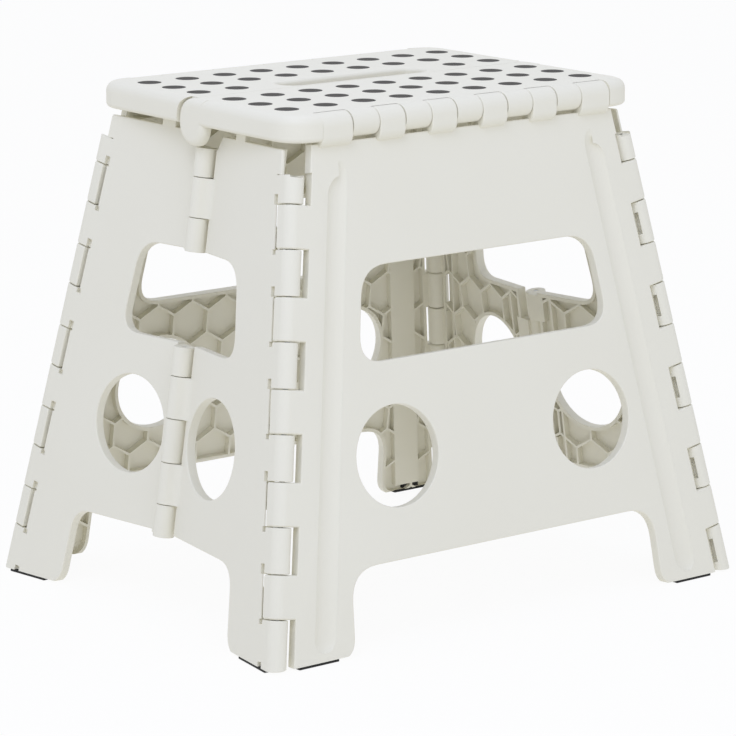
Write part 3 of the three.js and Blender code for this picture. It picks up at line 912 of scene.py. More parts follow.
def seen_rays(nodes: bpy.types.Nodes, links: bpy.types.NodeLinks) -> Socket:
    """Adds a share that is 1 for rays from the camera, a gloss or a clear piece, and 0 for the rest.

    Args:
        nodes: The nodes of the tree that it is added to.
        links: The links of that tree.

    Returns:
        The socket that gives the share.
    """
    rays = nodes.new("ShaderNodeLightPath")
    total = rays.outputs["Is Camera Ray"]
    for kind in ("Is Glossy Ray", "Is Transmission Ray"):
        either = nodes.new("ShaderNodeMath")
        either.operation = "MAXIMUM"
        links.new(total, either.inputs[0])
        links.new(rays.outputs[kind], either.inputs[1])
        total = either.outputs[0]
    return total


def blend_shaders(
    nodes: bpy.types.Nodes, links: bpy.types.NodeLinks, share: Socket, *ends: bpy.types.Node
) -> None:
    """Mixes two shaders by a share and links the result to the tree's output.

    Args:
        nodes: The nodes of the tree.
        links: The links of the tree.
        share: How much of the second shader there is.
        ends: The first shader, the second shader and the output.
    """
    first, second, output = ends
    mix = nodes.new("ShaderNodeMixShader")
    links.new(share, mix.inputs["Fac"])
    links.new(first.outputs[0], mix.inputs[1])
    links.new(second.outputs[0], mix.inputs[2])
    links.new(mix.outputs[0], output.inputs["Surface"])


def show(solid: Solid, name: str, finish: bpy.types.Material, body: str, slot: str, *nodes: str) -> None:
    """Turns a solid into a finished piece of the stool.

    Args:
        solid: The piece's shape.
        name: Its name.
        finish: Its material.
        body: The body that it moves with.
        slot: The record's material slot; not used.
        nodes: The frame's nodes that it stands for.
    """
    mesh = solid.mesh
    work = bmesh.new()
    work.from_mesh(mesh)
    bmesh.ops.triangulate(work, faces=work.faces)
    bmesh.ops.remove_doubles(work, verts=work.verts, dist=MERGE)
    bmesh.ops.dissolve_degenerate(work, edges=work.edges, dist=MERGE)
    work.to_mesh(mesh)
    work.free()
    mesh.name = name
    mesh.materials.clear()
    mesh.materials.append(finish)
    mesh.shade_smooth()
    mesh.set_sharp_from_angle(angle=SMOOTH_ANGLE)
    piece = bpy.data.objects.new(name, mesh)
    bpy.context.scene.collection.objects.link(piece)
    weighting = piece.modifiers.new("weighted_normals", "WEIGHTED_NORMAL")
    weighting.keep_sharp = True
    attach(piece, body)
    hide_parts(*nodes)
    log.info("%s: %d faces", name, len(mesh.polygons))


@dataclass(frozen=True)
class Stance:
    """Where the hinge axes run and how the panels stand."""

    seat_height: float = 390 * MM
    corner_top: Pair = (148.8 * MM, 109.9 * MM)
    corner_floor: Pair = (217.4 * MM, 173.5 * MM)
    middle_floor: float = 192.2 * MM
    middle_out: float = 11.1 * MM
    corner_radius: float = 8 * MM
    corner_slot: float = 3 * MM
    corner_bore: float = 2.3 * MM
    corner_bore_foot: float = 6 * MM
    corner_cap: float = 0.7 * MM
    corner_top_z: float = 347 * MM
    corner_first_z: float = 326.8 * MM
    corner_pitch: float = 32.27 * MM
    corner_borders: int = 10
    corner_gap: float = 0.55 * MM
    corner_edge: float = 0.8 * MM
    square_edge: float = 7.2 * MM
    square_bevel: float = 0.7 * MM
    square_end: float = 1.8 * MM
    core_slot_width: float = 3.2 * MM
    core_slot_share: float = 0.52
    core_slot_floor: float = 3.1 * MM
    core_slot_turn: float = 238.0
    panel_depth: float = 7.6 * MM
    skin: float = 2.4 * MM
    wall: float = 3 * MM
    rib: float = 2 * MM
    face_edge: float = 0.9 * MM
    back_edge: float = 0.4 * MM
    foot_z: float = 2.2 * MM
    below_floor: float = 20 * MM
    seat_thickness: float = 20 * MM
    hinge_y: float = 117 * MM
    hinge_radius: float = 10 * MM
    hinge_bore: float = 2.8 * MM
    knuckle_width: float = 24.2 * MM
    knuckle_borders: int = 10
    knuckle_end: float = 137.1 * MM
    knuckle_gap: float = 0.35 * MM

    def corner(self, z: float, side: int) -> Vector:
        """Gives a point of a left corner hinge's axis.

        Args:
            z: The point's height.
            side: The front hinge (-1) or the rear one (1).

        Returns:
            The point.
        """
        share = z / self.seat_height
        x = self.corner_floor[0] + (self.corner_top[0] - self.corner_floor[0]) * share
        y = self.corner_floor[1] + (self.corner_top[1] - self.corner_floor[1]) * share
        return Vector((-x, side * y, z))

    def front_corner(self, z: float, side: int) -> Vector:
        """Gives the front corner hinge axis at a height, on the left (-1) or the right (1)."""
        return Vector((side * self.corner_x(z), self.corner(z, -1).y, z))

    def corner_x(self, z: float) -> float:
        """Gives how far the corner hinges stand to the sides at a height."""
        return -self.corner(z, -1).x

    def corner_y(self, z: float) -> float:
        """Gives how far the corner hinges stand to the front and rear at a height."""
        return -self.corner(z, -1).y

    @property
    def apex(self) -> Vector:
        """Gives the point where the left end's two corner axes meet."""
        z = self.seat_height * self.corner_floor[1] / (self.corner_floor[1] - self.corner_top[1])
        return Vector((self.corner(z, 1).x, 0, z))

    def middle(self, z: float) -> Vector:
        """Gives a point of the left middle hinge's axis.

        Args:
            z: The point's height.

        Returns:
            The point.
        """
        share = z / self.apex.z
        x = self.middle_floor + (-self.apex.x - self.middle_floor) * share + self.middle_out
        return Vector((-x, 0, z))

    def on_hinge(self, x: float) -> Vector:
        """Gives a point of the front seat hinge's axis."""
        return Vector((x, -self.hinge_y, self.hinge_z))

    def corner_spans(self, first: int) -> list[Pair]:
        """Lists the heights of every second corner knuckle.

        Args:
            first: The ends' knuckles (0) or the legs' (1).

        Returns:
            The lower and upper height of each.
        """
        borders = [self.corner_first_z - index * self.corner_pitch for index in range(self.corner_borders)]
        edges = [self.corner_top_z, *borders, 0.0]
        return [(edges[index + 1], edges[index]) for index in range(first, len(edges) - 1, 2)]

    def seat_spans(self, first: int) -> list[Pair]:
        """Lists the places of every second seat knuckle.

        Args:
            first: The leg panel's knuckles (0) or the seat's (1).

        Returns:
            The left and right end of each.
        """
        middle = (self.knuckle_borders - 1) / 2
        borders = [(index - middle) * self.knuckle_width for index in range(self.knuckle_borders)]
        edges = [-self.knuckle_end, *borders, self.knuckle_end]
        return [(edges[index], edges[index + 1]) for index in range(first, len(edges) - 1, 2)]

    @property
    def corner_reach(self) -> float:
        """Gives how far a panel's edge keeps from its corner axis."""
        return self.corner_radius + self.corner_slot

    @property
    def bore_top(self) -> float:
        """Gives the height at which the corner bores end, blind, in the top knuckle."""
        return self.corner_top_z - self.corner_cap

    @property
    def hinge_z(self) -> float:
        """Gives the height of the seat hinges."""
        return self.seat_height - self.hinge_radius

    @property
    def seat_under(self) -> float:
        """Gives the height of the seat's underside."""
        return self.seat_height - self.seat_thickness

    @property
    def behind(self) -> float:
        """Gives a height over a panel's face that lies well behind the panel."""
        return -(self.panel_depth + 3 * OVERRUN)

    def rod_cutter(self, reach: float) -> Solid:
        """Builds the cutter of the front seat hinge's bore, with its reach to both sides."""
        return barrel(self.on_hinge(-reach), self.on_hinge(reach), self.hinge_bore)

    def floor_cutter(self) -> Solid:
        """Builds the cutter of what would reach lower than the panels' soles."""
        return Solid.box(Vector((-REACH, -REACH, -self.below_floor)), Vector((REACH, REACH, self.foot_z)))

    def corner_knuckle(self, span: Span, squared: bool) -> Solid:
        """Builds a corner knuckle: a barrel with a web flush with the panel's face.

        Args:
            span: Its stretch of the hinge.
            squared: Whether the barrel is filled out to a square edge towards the other panel.

        Returns:
            The knuckle.
        """
        radius = self.corner_radius
        low = radius - self.panel_depth
        reach = self.corner_reach + self.wall
        stop = 360 + math.degrees(math.asin(low / radius))
        if squared:
            far, bevel = self.square_edge, self.square_bevel
            meets = 180 + math.degrees(math.asin(far / radius))
            corner = [Vector((-radius, bevel - far)), Vector((bevel - radius, -far))]
            around = [*arc_points(MIDDLE, radius, 90, 180, 15), *corner]
            around += arc_points(MIDDLE, radius, meets, stop, 18)
        else:
            around = arc_points(MIDDLE, radius, 90, stop, 30)
        loop = [*around, Vector((reach, low)), Vector((reach, radius))]
        return span.prism(loop, -span.half, span.half, self.square_end if squared else self.corner_edge)

    def core_slot(self, span: Span) -> Solid:
        """Builds the cutter of the upright slot that a moulding core leaves in a plain corner knuckle.

        Args:
            span: The knuckle's stretch of the hinge.

        Returns:
            The cutter.
        """
        turn = math.radians(self.core_slot_turn)
        out = Vector((math.cos(turn), math.sin(turn)))
        aside = Vector((-out.y, out.x)) * self.core_slot_width / 2
        near, far = out * self.core_slot_floor, out * (self.corner_radius + OVERRUN)
        half = span.half * self.core_slot_share
        loop = counter_clockwise([near - aside, far - aside, far + aside, near + aside])
        return span.prism(loop, -half, half)


@dataclass(frozen=True)
class Panel(ABC):
    """What the leg panels and the end halves share."""

    stance: Stance

    @property
    @abstractmethod
    def frame(self) -> Matrix:
        """Gives the panel's frame."""

    @abstractmethod
    def place(self, across: float, z: float) -> Vector:
        """Puts a point of the panel's own view onto its face."""

    def block(self, outline: Loop, low: float, high: float) -> Solid:
        """Builds a block on a straight-edged outline.

        Args:
            outline: Its corners in the panel's own view.
            low: Its lower end, as a height over the panel's face.
            high: Its upper end.

        Returns:
            The block.
        """
        loop = [self.place(point.x, point.y) for point in outline]
        return Solid.prism([counter_clockwise(loop)], self.frame, [Station(low, 0), Station(high, 0)])

    def shell(self, loops: Sequence[Loop], cell_loops: Sequence[Loop], ribs: Sequence[Solid]) -> Solid:
        """Builds the panel's plate and hollows it from behind into honeycomb cells.

        Args:
            loops: The plate's outline and holes, in the panel's frame.
            cell_loops: The outline and holes that the cells keep a wall's thickness away from.
            ribs: Straight ribs that stay between the cells.

        Returns:
            The hollowed plate.
        """
        s, frame = self.stance, self.frame
        plate = Solid.prism(loops, frame, rounded_ends(-s.panel_depth, 0, s.back_edge, s.face_edge, 3))
        outer, *holes = cell_loops
        field = [inset_loop(outer, s.wall), *[inset_loop(hole, -s.wall) for hole in holes]]
        deep = s.panel_depth + OVERRUN
        region = Solid.prism(field, frame, [Station(-deep - OVERRUN, 0), Station(0, 0)])
        xs = [point.x for point in outer]
        ys = [point.y for point in outer]
        centre = Vector(((min(xs) + max(xs)) / 2, (min(ys) + max(ys)) / 2, -(s.skin + deep) / 2))
        cells = Honeycomb().cells(frame, max(xs) - min(xs), max(ys) - min(ys), centre, deep - s.skin)
        return plate.minus(cells.within(region).minus(*ribs))


@dataclass(frozen=True)
class LegPanel(Panel):
    """A wide leg panel, drawn as the front one."""

    arch: Pair = (146 * MM, 63 * MM)
    arch_run: float = 24 * MM
    foot_x: float = 150 * MM
    foot_run: float = 15 * MM
    top_setback: float = 9.5 * MM
    top_step: float = 1.5 * MM
    top_gap: float = 1.8 * MM
    hole_centre: Pair = (93.8 * MM, 138.3 * MM)
    hole_radius: float = 37.8 * MM
    hand_low: Pair = (120 * MM, 208 * MM)
    hand_high: Pair = (109 * MM, 277 * MM)
    hand_run: float = 22 * MM
    collar_z: float = 366.5 * MM
    collar_rise: float = 7 * MM
    collar_bend: float = 1 * MM
    collar_land: Pair = (0.6 * MM, 1.5 * MM)
    collar_root: float = 3 * MM
    collar_back: float = 1 * MM
    curl_inner_share: float = 0.87
    knuckle_edge: float = 1.2 * MM
    bore_reach: float = 200 * MM
    cove_top: float = 356 * MM
    cove_foot: float = 8 * MM
    cove_inner: Pair = (111 * MM, 166.5 * MM)
    cove_outer: Pair = (131.5 * MM, 187.5 * MM)
    cove_depth: float = 3 * MM
    cove_end: float = 15 * MM
    cove_slant: float = 12 * MM
    cove_power: float = 2.2
    cove_least: float = 0.0006
    cove_grid: tuple[int, int] = (40, 12)

    @property
    def lean(self) -> float:
        """Gives how far the panel leans, in radians."""
        rise = self.stance.corner_floor[1] - self.stance.corner_top[1]
        return math.atan(rise / self.stance.seat_height)

    @property
    def frame(self) -> Matrix:
        """Gives the panel's frame.

        Returns:
            The frame's matrix.
        """
        outward = Vector((0, -math.cos(self.lean), math.sin(self.lean)))
        y = -self.stance.corner_floor[1] - self.stance.corner_radius / math.cos(self.lean)
        return panel_frame(Vector((0, y, 0)), outward)

    def place(self, across: float, z: float) -> Vector:
        """Puts a point of the front view onto the panel's face."""
        return on_face(self.frame, Vector((across, 0, z)), Vector((0, 1, 0)))

    def face_y(self, z: float) -> float:
        """Gives the outer face's y at a height."""
        return self.frame.translation.y + z * math.tan(self.lean)

    def loops(self) -> list[Loop]:
        """Draws the panel's outline and its three holes.

        Returns:
            The outline and the holes.
        """
        s = self.stance
        top = s.seat_under - self.top_gap
        step = s.corner_top_z + self.top_step
        sole = s.foot_z - OVERRUN
        outer = rounded_loop(mirrored([
            Corner(*self.arch, self.arch_run),
            Corner(self.foot_x, sole, self.foot_run),
            Corner(s.corner_x(0) - s.corner_reach, sole),
            Corner(s.corner_x(step) - s.corner_reach, step),
            Corner(s.corner_x(step) - self.top_setback, step),
            Corner(s.corner_x(top) - self.top_setback, top),
        ]), self.place)
        hand = [Corner(*self.hand_low, self.hand_run), Corner(*self.hand_high, self.hand_run)]
        x, z = self.hole_centre
        round_holes = [circle_loop(self.place(side * x, z), self.hole_radius) for side in (-1, 1)]
        return [outer, rounded_loop(mirrored(hand), self.place), *round_holes]

    def cove(self, side: int) -> Solid:
        """Builds the cutter of the long shallow cove beside a corner.

        Args:
            side: The left corner (-1) or the right one (1).

        Returns:
            The cutter.
        """
        (x0, x1), (x2, x3) = self.cove_inner, self.cove_outer
        rows, columns = self.cove_grid
        length = self.cove_top - self.cove_foot
        across = [2 * column / columns - 1 for column in range(columns + 1)]
        points = []
        for row in range(rows + 1):
            t = (1 - math.cos(math.pi * row / rows)) / 2
            run = t * length
            inner = x0 + (x1 - x0) * t
            outer = x2 + (x3 - x2) * t
            ends = (run / self.cove_end, (length - run) / (outer - inner) * 2)
            swell = math.prod(math.sqrt(max(1 - (1 - min(end, 1.0)) ** 2, self.cove_least)) for end in ends)
            middle, half = (inner + outer) / 2, (outer - inner) / 2 * swell
            depths = [self.cove_depth * swell * (1 - abs(u) ** self.cove_power) for u in across]
            section = [*[(u, -depth) for u, depth in zip(across, depths)], (1, OVERRUN), (-1, OVERRUN)]
            for u, height in section:
                slant = self.cove_slant * (1 + u) / 2 * (1 - t)
                flat = self.place(side * (middle + half * u), self.cove_top - run - slant)
                points.append(self.frame @ Vector((flat.x, flat.y, height)))
        ring = columns + 3
        faces: list[tuple[int, ...]] = []
        for low in range(0, rows * ring, ring):
            high = low + ring
            for index in range(ring):
                after = (index + 1) % ring
                faces.append((low + index, low + after, high + after, high + index))
        faces.append(tuple(range(ring - 1, -1, -1)))
        faces.append(tuple(rows * ring + index for index in range(ring)))
        return Solid.closed(points, faces)

    def seat_knuckle(self, left: float, right: float) -> Solid:
        """Builds a knuckle that curls up over the seat's edge, with its collar on the panel's face.

        Args:
            left: Where it starts along x.
            right: Where it ends.

        Returns:
            The knuckle.
        """
        s = self.stance
        y, z, r = s.hinge_y, s.hinge_z, s.hinge_radius
        front = -y - r
        face = self.face_y(self.collar_z)
        curl = arc_points(Vector((-y, z)), r, 0, 180, 20)
        start = Vector((front, self.collar_z + self.collar_rise))
        bend = Vector((front, self.collar_z + self.collar_bend))
        land = Vector((face + self.collar_land[0], self.collar_z - self.collar_land[1]))
        root = self.collar_z - self.collar_root
        back = [
            Vector((face + self.collar_root, root)),
            Vector((face + s.panel_depth - self.collar_back, root)),
            Vector((-y + r * self.curl_inner_share, z - r / 2)),
        ]
        loop = counter_clockwise([*curl, *bow(start, bend, land, FIFTHS), *back])
        ends = rounded_ends(left, right, self.knuckle_edge, self.knuckle_edge, 3)
        return Solid.prism([loop], SIDE_VIEW, ends)

    def solid(self) -> Solid:
        """Builds the whole panel.

        Returns:
            The panel.
        """
        s = self.stance
        loops = self.loops()
        body = self.shell(loops, loops, self.straight_ribs())
        for side in (-1, 1):
            spans = [
                Span(
                    s.front_corner(low + s.corner_gap, side),
                    s.front_corner(high - s.corner_gap, side),
                    self.frame,
                    Vector((-side, 0, 0)),
                )
                for low, high in s.corner_spans(1)
            ]
            body = body.plus(*[s.corner_knuckle(span, True) for span in spans])
            foot, head = (s.front_corner(z, side) for z in (s.corner_bore_foot, s.bore_top))
            body = body.minus(barrel(foot, head, s.corner_bore))
        spans = s.seat_spans(0)
        last = len(spans) - 1
        knuckles = [
            self.seat_knuckle(
                left + (s.knuckle_gap if index else 0),
                right - (s.knuckle_gap if index < last else 0),
            )
            for index, (left, right) in enumerate(spans)
        ]
        body = body.plus(*knuckles)
        return body.minus(s.floor_cutter(), s.rod_cutter(self.bore_reach), self.cove(-1), self.cove(1))

    def straight_ribs(self) -> list[Solid]:
        """Builds the straight bands behind the two coves.

        Returns:
            The bands.
        """
        s = self.stance
        (x0, x1), (x2, x3) = self.cove_inner, self.cove_outer
        top, foot = self.cove_top + s.wall, self.cove_foot
        edges = ((x0 - s.rib, top), (x1 - s.rib, foot), (x3 + s.rib, foot), (x2 + s.rib, top))
        return [self.block([Vector((side * x, z)) for x, z in edges], s.behind, 0) for side in (-1, 1)]


class Hold(Enum):
    """What an end half does at its middle hinge."""

    RODS = "rods"
    LOOSE = "loose"


@dataclass(frozen=True)
class EndHalf(Panel):
    """One half of the left end panel: side is -1 at the front and 1 at the rear."""

    side: int
    hold: Hold
    arch: Pair = (104 * MM, 62 * MM)
    arch_run: float = 18 * MM
    foot_y: float = 112 * MM
    foot_run: float = 15 * MM
    top_outer_z: float = 365 * MM
    top_setback: float = 4.6 * MM
    top_run: float = 2 * MM
    thin_edge: float = 13 * MM
    thin_start: float = 0.5 * MM
    top_inner: Pair = (18 * MM, 362 * MM)
    shoulder_y: float = 12.6 * MM
    hole_centre: Pair = (53.2 * MM, 136.7 * MM)
    hole_radius: float = 37.7 * MM
    hand_low: Pair = (74 * MM, 205 * MM)
    hand_high: Pair = (62 * MM, 275 * MM)
    hand_run: float = 20 * MM
    middle_radius: float = 8 * MM
    middle_slot: float = 2.6 * MM
    middle_edge: float = 0.5 * MM
    middle_gap: float = 0.5 * MM
    snug_bore: float = 2.3 * MM
    wide_bore: float = 3.6 * MM
    sweep_turn: float = 28.0
    sweep_bend: float = 2.2 * MM
    sweep_run: float = 8 * MM
    upper: tuple[float, ...] = (351.7 * MM, 330.2 * MM, 299.5 * MM, 274.4 * MM)
    lower: tuple[float, ...] = (203.3 * MM, 181.5 * MM, 149 * MM, 116.4 * MM, 84.3 * MM, 59.8 * MM)
    rest: Pair = (39 * MM, 53 * MM)
    rest_depth: float = 4 * MM
    rest_gap: float = 0.3 * MM
    rib_from_middle: float = 24 * MM
    rib_from_corner: float = 27 * MM
    undercut_lip: float = 1.2 * MM
    undercut_depth: float = 5 * MM
    undercut_reach: float = 2.4 * MM
    window_low: Pair = (7 * MM, 7 * MM)
    window_high: Pair = (3.4 * MM, 7.6 * MM)
    window_far: float = 12.2 * MM
    window_past: float = 0.5 * MM
    window_depth: float = 3 * MM
    window_rise: float = 1 * MM

    @property
    def frame(self) -> Matrix:
        """Gives the half's frame.

        Returns:
            The frame's matrix.
        """
        s = self.stance
        middle = Vector((-s.middle_floor, 0, 0))
        outward = (s.corner(0, self.side) - s.apex).cross(middle - s.apex).normalized()
        if outward.x > 0:
            outward.negate()
        return panel_frame(middle + outward * s.corner_radius, outward)

    def place(self, across: float, z: float) -> Vector:
        """Puts a point of the end view onto the half's face."""
        return on_face(self.frame, Vector((0, self.side * across, z)), Vector((1, 0, 0)))

    def span(self, low: float, high: float) -> Span:
        """Gives the stretch of the corner hinge between two heights."""
        start, end = (self.stance.corner(z, self.side) for z in (low, high))
        return Span(start, end, self.frame, Vector((0, -self.side, 0)))

    def loops(self, stepped: bool = True) -> list[Loop]:
        """Draws the half's outline, with its part of the hand hole, and its round hole.

        Args:
            stepped: Whether the top has its steps over the hinges, which the cells keep clear of.

        Returns:
            The outline and the round hole.
        """
        s = self.stance
        near = self.middle_radius + self.middle_slot
        top, high, inset = s.corner_top_z, self.top_outer_z, self.top_setback
        sole = s.foot_z - OVERRUN
        over_corner = [
            Corner(s.corner_y(top) - inset, top),
            Corner(s.corner_y(high) - inset, high, self.top_run),
        ]
        over_middle = [Corner(*self.top_inner, self.top_run), Corner(self.shoulder_y, self.upper[0])]
        plain = [Corner(s.corner_y(high) - s.corner_reach, high), Corner(*self.top_inner)]
        outer = rounded_loop([
            Corner(near, self.arch[1]),
            Corner(*self.arch, self.arch_run),
            Corner(self.foot_y, sole, self.foot_run),
            Corner(s.corner_y(0) - s.corner_reach, sole),
            Corner(s.corner_y(top) - s.corner_reach, top),
            *([*over_corner, *over_middle] if stepped else plain),
            Corner(near, self.upper[0]),
            Corner(near, self.hand_high[1]),
            Corner(*self.hand_high, self.hand_run),
            Corner(*self.hand_low, self.hand_run),
            Corner(near, self.hand_low[1]),
        ], self.place)
        return [outer, circle_loop(self.place(*self.hole_centre), self.hole_radius)]

    def middle_knuckle(self, low: float, high: float) -> Solid:
        """Builds a middle knuckle: a barrel outside the face, with a web that sweeps into it.

        Args:
            low: The height of its lower end.
            high: The height of its upper end.

        Returns:
            The knuckle.
        """
        s, r = self.stance, self.middle_radius
        span = Span(s.middle(low), s.middle(high), self.frame, Vector((0, self.side, 0)))
        face = -(self.frame.inverted() @ s.middle((low + high) / 2)).z
        back = face - s.panel_depth
        turn = math.radians(self.sweep_turn)
        start = Vector((r * math.cos(turn), r * math.sin(turn)))
        bend = Vector((r + self.sweep_bend, face))
        end = Vector((r + self.sweep_run, face))
        sweep = bow(start, bend, end, FIFTHS[1:])
        around = arc_points(MIDDLE, r, self.sweep_turn, 270, 28)
        loop = counter_clockwise([*around, Vector((0, back)), Vector((end.x, back)), *sweep[::-1]])
        return span.prism(loop, -span.half, span.half, self.middle_edge, 2)

    def middle_spans(self) -> list[Pair]:
        """Lists the heights of the half's middle knuckles.

        Returns:
            The lower and upper height of each.
        """
        first, gap = (0, 0.0) if self.hold is Hold.RODS else (1, self.middle_gap)
        return [
            (edges[index + 1] + gap, edges[index] - gap)
            for edges in (self.upper, self.lower)
            for index in range(first, len(edges) - 1, 2)
        ]

    def windows(self, span: Span, topmost: bool) -> list[Solid]:
        """Builds the cutters of the small windows at the ends of a corner knuckle's web.

        Args:
            span: The knuckle's stretch of the hinge.
            topmost: Whether it is the topmost knuckle, which has only the lower window.

        Returns:
            The cutters, the lower one first.
        """
        face = self.stance.corner_radius
        upwards = 1 if (span.frame.to_3x3() @ UP).z > 0 else -1
        cutters = []
        for way, (tall, near) in ((upwards, self.window_low), (-upwards, self.window_high)):
            edge = -way * span.half
            low, high = sorted((edge + way * tall, edge - way * self.window_past))
            loop = rectangle(near, face - self.window_depth, self.window_far, face + self.window_rise)
            cutters.append(span.prism(loop, low, high))
        return cutters[:1] if topmost else cutters

    def undercut(self, span: Span) -> Solid:
        """Builds the cutter that leaves only a lip of the skin beside one of the leg panel's knuckles.

        Args:
            span: The stretch of the hinge beside the lip.

        Returns:
            The cutter.
        """
        s = self.stance
        face = s.corner_radius - self.undercut_lip
        near, far = s.corner_reach - OVERRUN, s.corner_reach + self.undercut_reach
        return span.prism(rectangle(near, face - self.undercut_depth, far, face), -span.half, span.half)

    def solid(self) -> Solid:
        """Builds the whole half.

        Returns:
            The half.
        """
        s = self.stance
        body = self.shell(self.loops(), self.loops(stepped=False), self.straight_ribs())
        spans = [self.span(low, high) for low, high in s.corner_spans(0)]
        top, *others = spans
        body = body.plus(*[s.corner_knuckle(span, False) for span in spans])
        body = body.plus(*[self.middle_knuckle(low, high) for low, high in self.middle_spans()])
        body = body.plus(self.rest_tab())
        windows = [window for span in spans for window in self.windows(span, span is top)]
        slots = [s.core_slot(span) for span in others]
        leg_spans = [self.span(low + s.corner_gap, high - s.corner_gap) for low, high in s.corner_spans(1)]
        body = body.minus(*windows, *slots, *[self.undercut(span) for span in leg_spans])
        foot, head = (s.corner(z, self.side) for z in (s.corner_bore_foot, s.bore_top))
        bores = [barrel(foot, head, s.corner_bore), *self.middle_bores()]
        return body.minus(s.floor_cutter(), *bores, self.thin_top())

    def thin_top(self) -> Solid:
        """Builds the cutter that leaves only the skin beside the top of the corner.

        Returns:
            The cutter.
        """
        s = self.stance
        edge = s.corner_y(s.corner_top_z)
        low, high = s.corner_top_z + self.thin_start, self.top_outer_z + 4 * OVERRUN
        loop = rectangle(edge - self.thin_edge, low, edge + self.thin_edge, high)
        return self.block(loop, s.behind, -s.skin)

    def middle_bores(self) -> list[Solid]:
        """Builds the cutters of the middle hinge's bores.

        Returns:
            The cutters, the upper one first.
        """
        radius = self.snug_bore if self.hold is Hold.RODS else self.wide_bore
        middle = self.stance.middle
        return [
            barrel(middle(edges[-1] - OVERRUN), middle(edges[0] + OVERRUN), radius)
            for edges in (self.upper, self.lower)
        ]

    def rest_tab(self) -> Solid:
        """Builds the tab on the upper edge that the seat rests on.

        Returns:
            The tab.
        """
        s = self.stance
        near, far = self.rest
        foot, head = self.top_inner[1] - s.wall, s.seat_under - self.rest_gap
        return self.block(rectangle(near, foot, far, head), -self.rest_depth, 0)

    def straight_ribs(self) -> list[Solid]:
        """Builds the straight ribs beside the middle hinge and the corner.

        Returns:
            The ribs.
        """
        s = self.stance
        half, top = s.rib / 2, s.seat_height
        feet = (self.rib_from_middle, s.corner_y(0) - self.rib_from_corner)
        heads = (self.rib_from_middle, s.corner_y(top) - self.rib_from_corner)
        ribs = []
        for low, high in zip(feet, heads):
            edges = ((low - half, 0), (low + half, 0), (high + half, top), (high - half, top))
            ribs.append(self.block([Vector(edge) for edge in edges], s.behind, 0))
        return ribs


@dataclass(frozen=True)
class GripDots:
    """Round dots let into the seat, in straight rows and columns."""

    radius: float = 9.1 * MM
    depth: float = 1.6 * MM
    pitch: Pair = (35.1 * MM, 32.6 * MM)
    first_y: float = 22.8 * MM
    columns: int = 9
    rows: int = 3
    clear: Pair = (72 * MM, 40 * MM)
    side_play: float = 0.1 * MM
    under_play: float = 0.05 * MM
    sunk: float = 0.03 * MM
    edge: float = 0.35 * MM
    flats: int = 40

    def graph(self) -> NodeGraph:
        """Builds the node tree that sets a dot on each point of a grid, except beside the slot.

        Returns:
            The tree.
        """
        graph = NodeGraph("Grip dots")
        dot, pitch_x, pitch_y, first, columns, rows, clear_x, clear_y, finish = graph.inputs({
            "Dot": "Object", "Pitch X": "Float", "Pitch Y": "Float", "First Y": "Float",
            "Columns": "Int", "Rows": "Int", "Clear X": "Float", "Clear Y": "Float", "Finish": "Material",
        })
        points, depth = graph.grid(columns, rows, pitch_x, pitch_y)
        points = graph.shifted(points, "Y", graph.math("ADD", first, graph.math("MULTIPLY", depth, 0.5)))
        near_slot = graph.math("LESS_THAN", graph.math("ABSOLUTE", graph.position("X")), clear_x)
        first_row = graph.math("LESS_THAN", graph.position("Y"), clear_y)
        drop = graph.node("GeometryNodeDeleteGeometry")
        graph.link(points, drop.inputs["Geometry"])
        graph.link(graph.math("MULTIPLY", near_slot, first_row), drop.inputs["Selection"])
        source = graph.node("GeometryNodeObjectInfo")
        graph.link(dot, source.inputs["Object"])
        graph.finish(graph.scattered(drop.outputs[0], source.outputs["Geometry"]), finish)
        return graph

    def spread(self, shape: Solid, is_rear: bool, finish: bpy.types.Material | None) -> Solid:
        """Sets a shape at every dot of a seat half.

        Args:
            shape: The shape at the origin.
            is_rear: Whether the half is the rear one, where the slot takes some dots' place.
            finish: The material of the result.

        Returns:
            All copies as one solid.
        """
        source = bpy.data.objects.new("dot", shape.mesh)
        bpy.context.scene.collection.objects.link(source)
        clear = self.clear if is_rear else (0.0, 0.0)
        mesh = self.graph().run({
            "Dot": source, "Pitch X": self.pitch[0], "Pitch Y": self.pitch[1], "First Y": self.first_y,
            "Columns": self.columns, "Rows": self.rows, "Clear X": clear[0], "Clear Y": clear[1],
            "Finish": finish,
        })
        bpy.data.objects.remove(source)
        mesh.transform(UNTURNED if is_rear else HALF_TURN)
        return Solid(mesh)

    def cutter(self, top: float, is_rear: bool) -> Solid:
        """Builds the cutter of the dots' seats."""
        low, high = Vector((0, 0, top - self.depth)), Vector((0, 0, top + OVERRUN))
        return self.spread(barrel(low, high, self.radius + self.side_play, 0, self.flats), is_rear, None)

    def solid(self, top: float, is_rear: bool, finish: bpy.types.Material) -> Solid:
        """Builds the dots, each with a softly rounded edge.

        Args:
            top: The height of the seat's top.
            is_rear: Whether they are the rear half's.
            finish: Their material.

        Returns:
            All dots as one solid.
        """
        face = top - self.sunk
        ends = rounded_ends(face - self.depth + self.under_play, face, 0, self.edge, 3)
        dot = Solid.prism([circle_loop(MIDDLE, self.radius, self.flats)], UNTURNED, ends)
        return self.spread(dot, is_rear, finish)


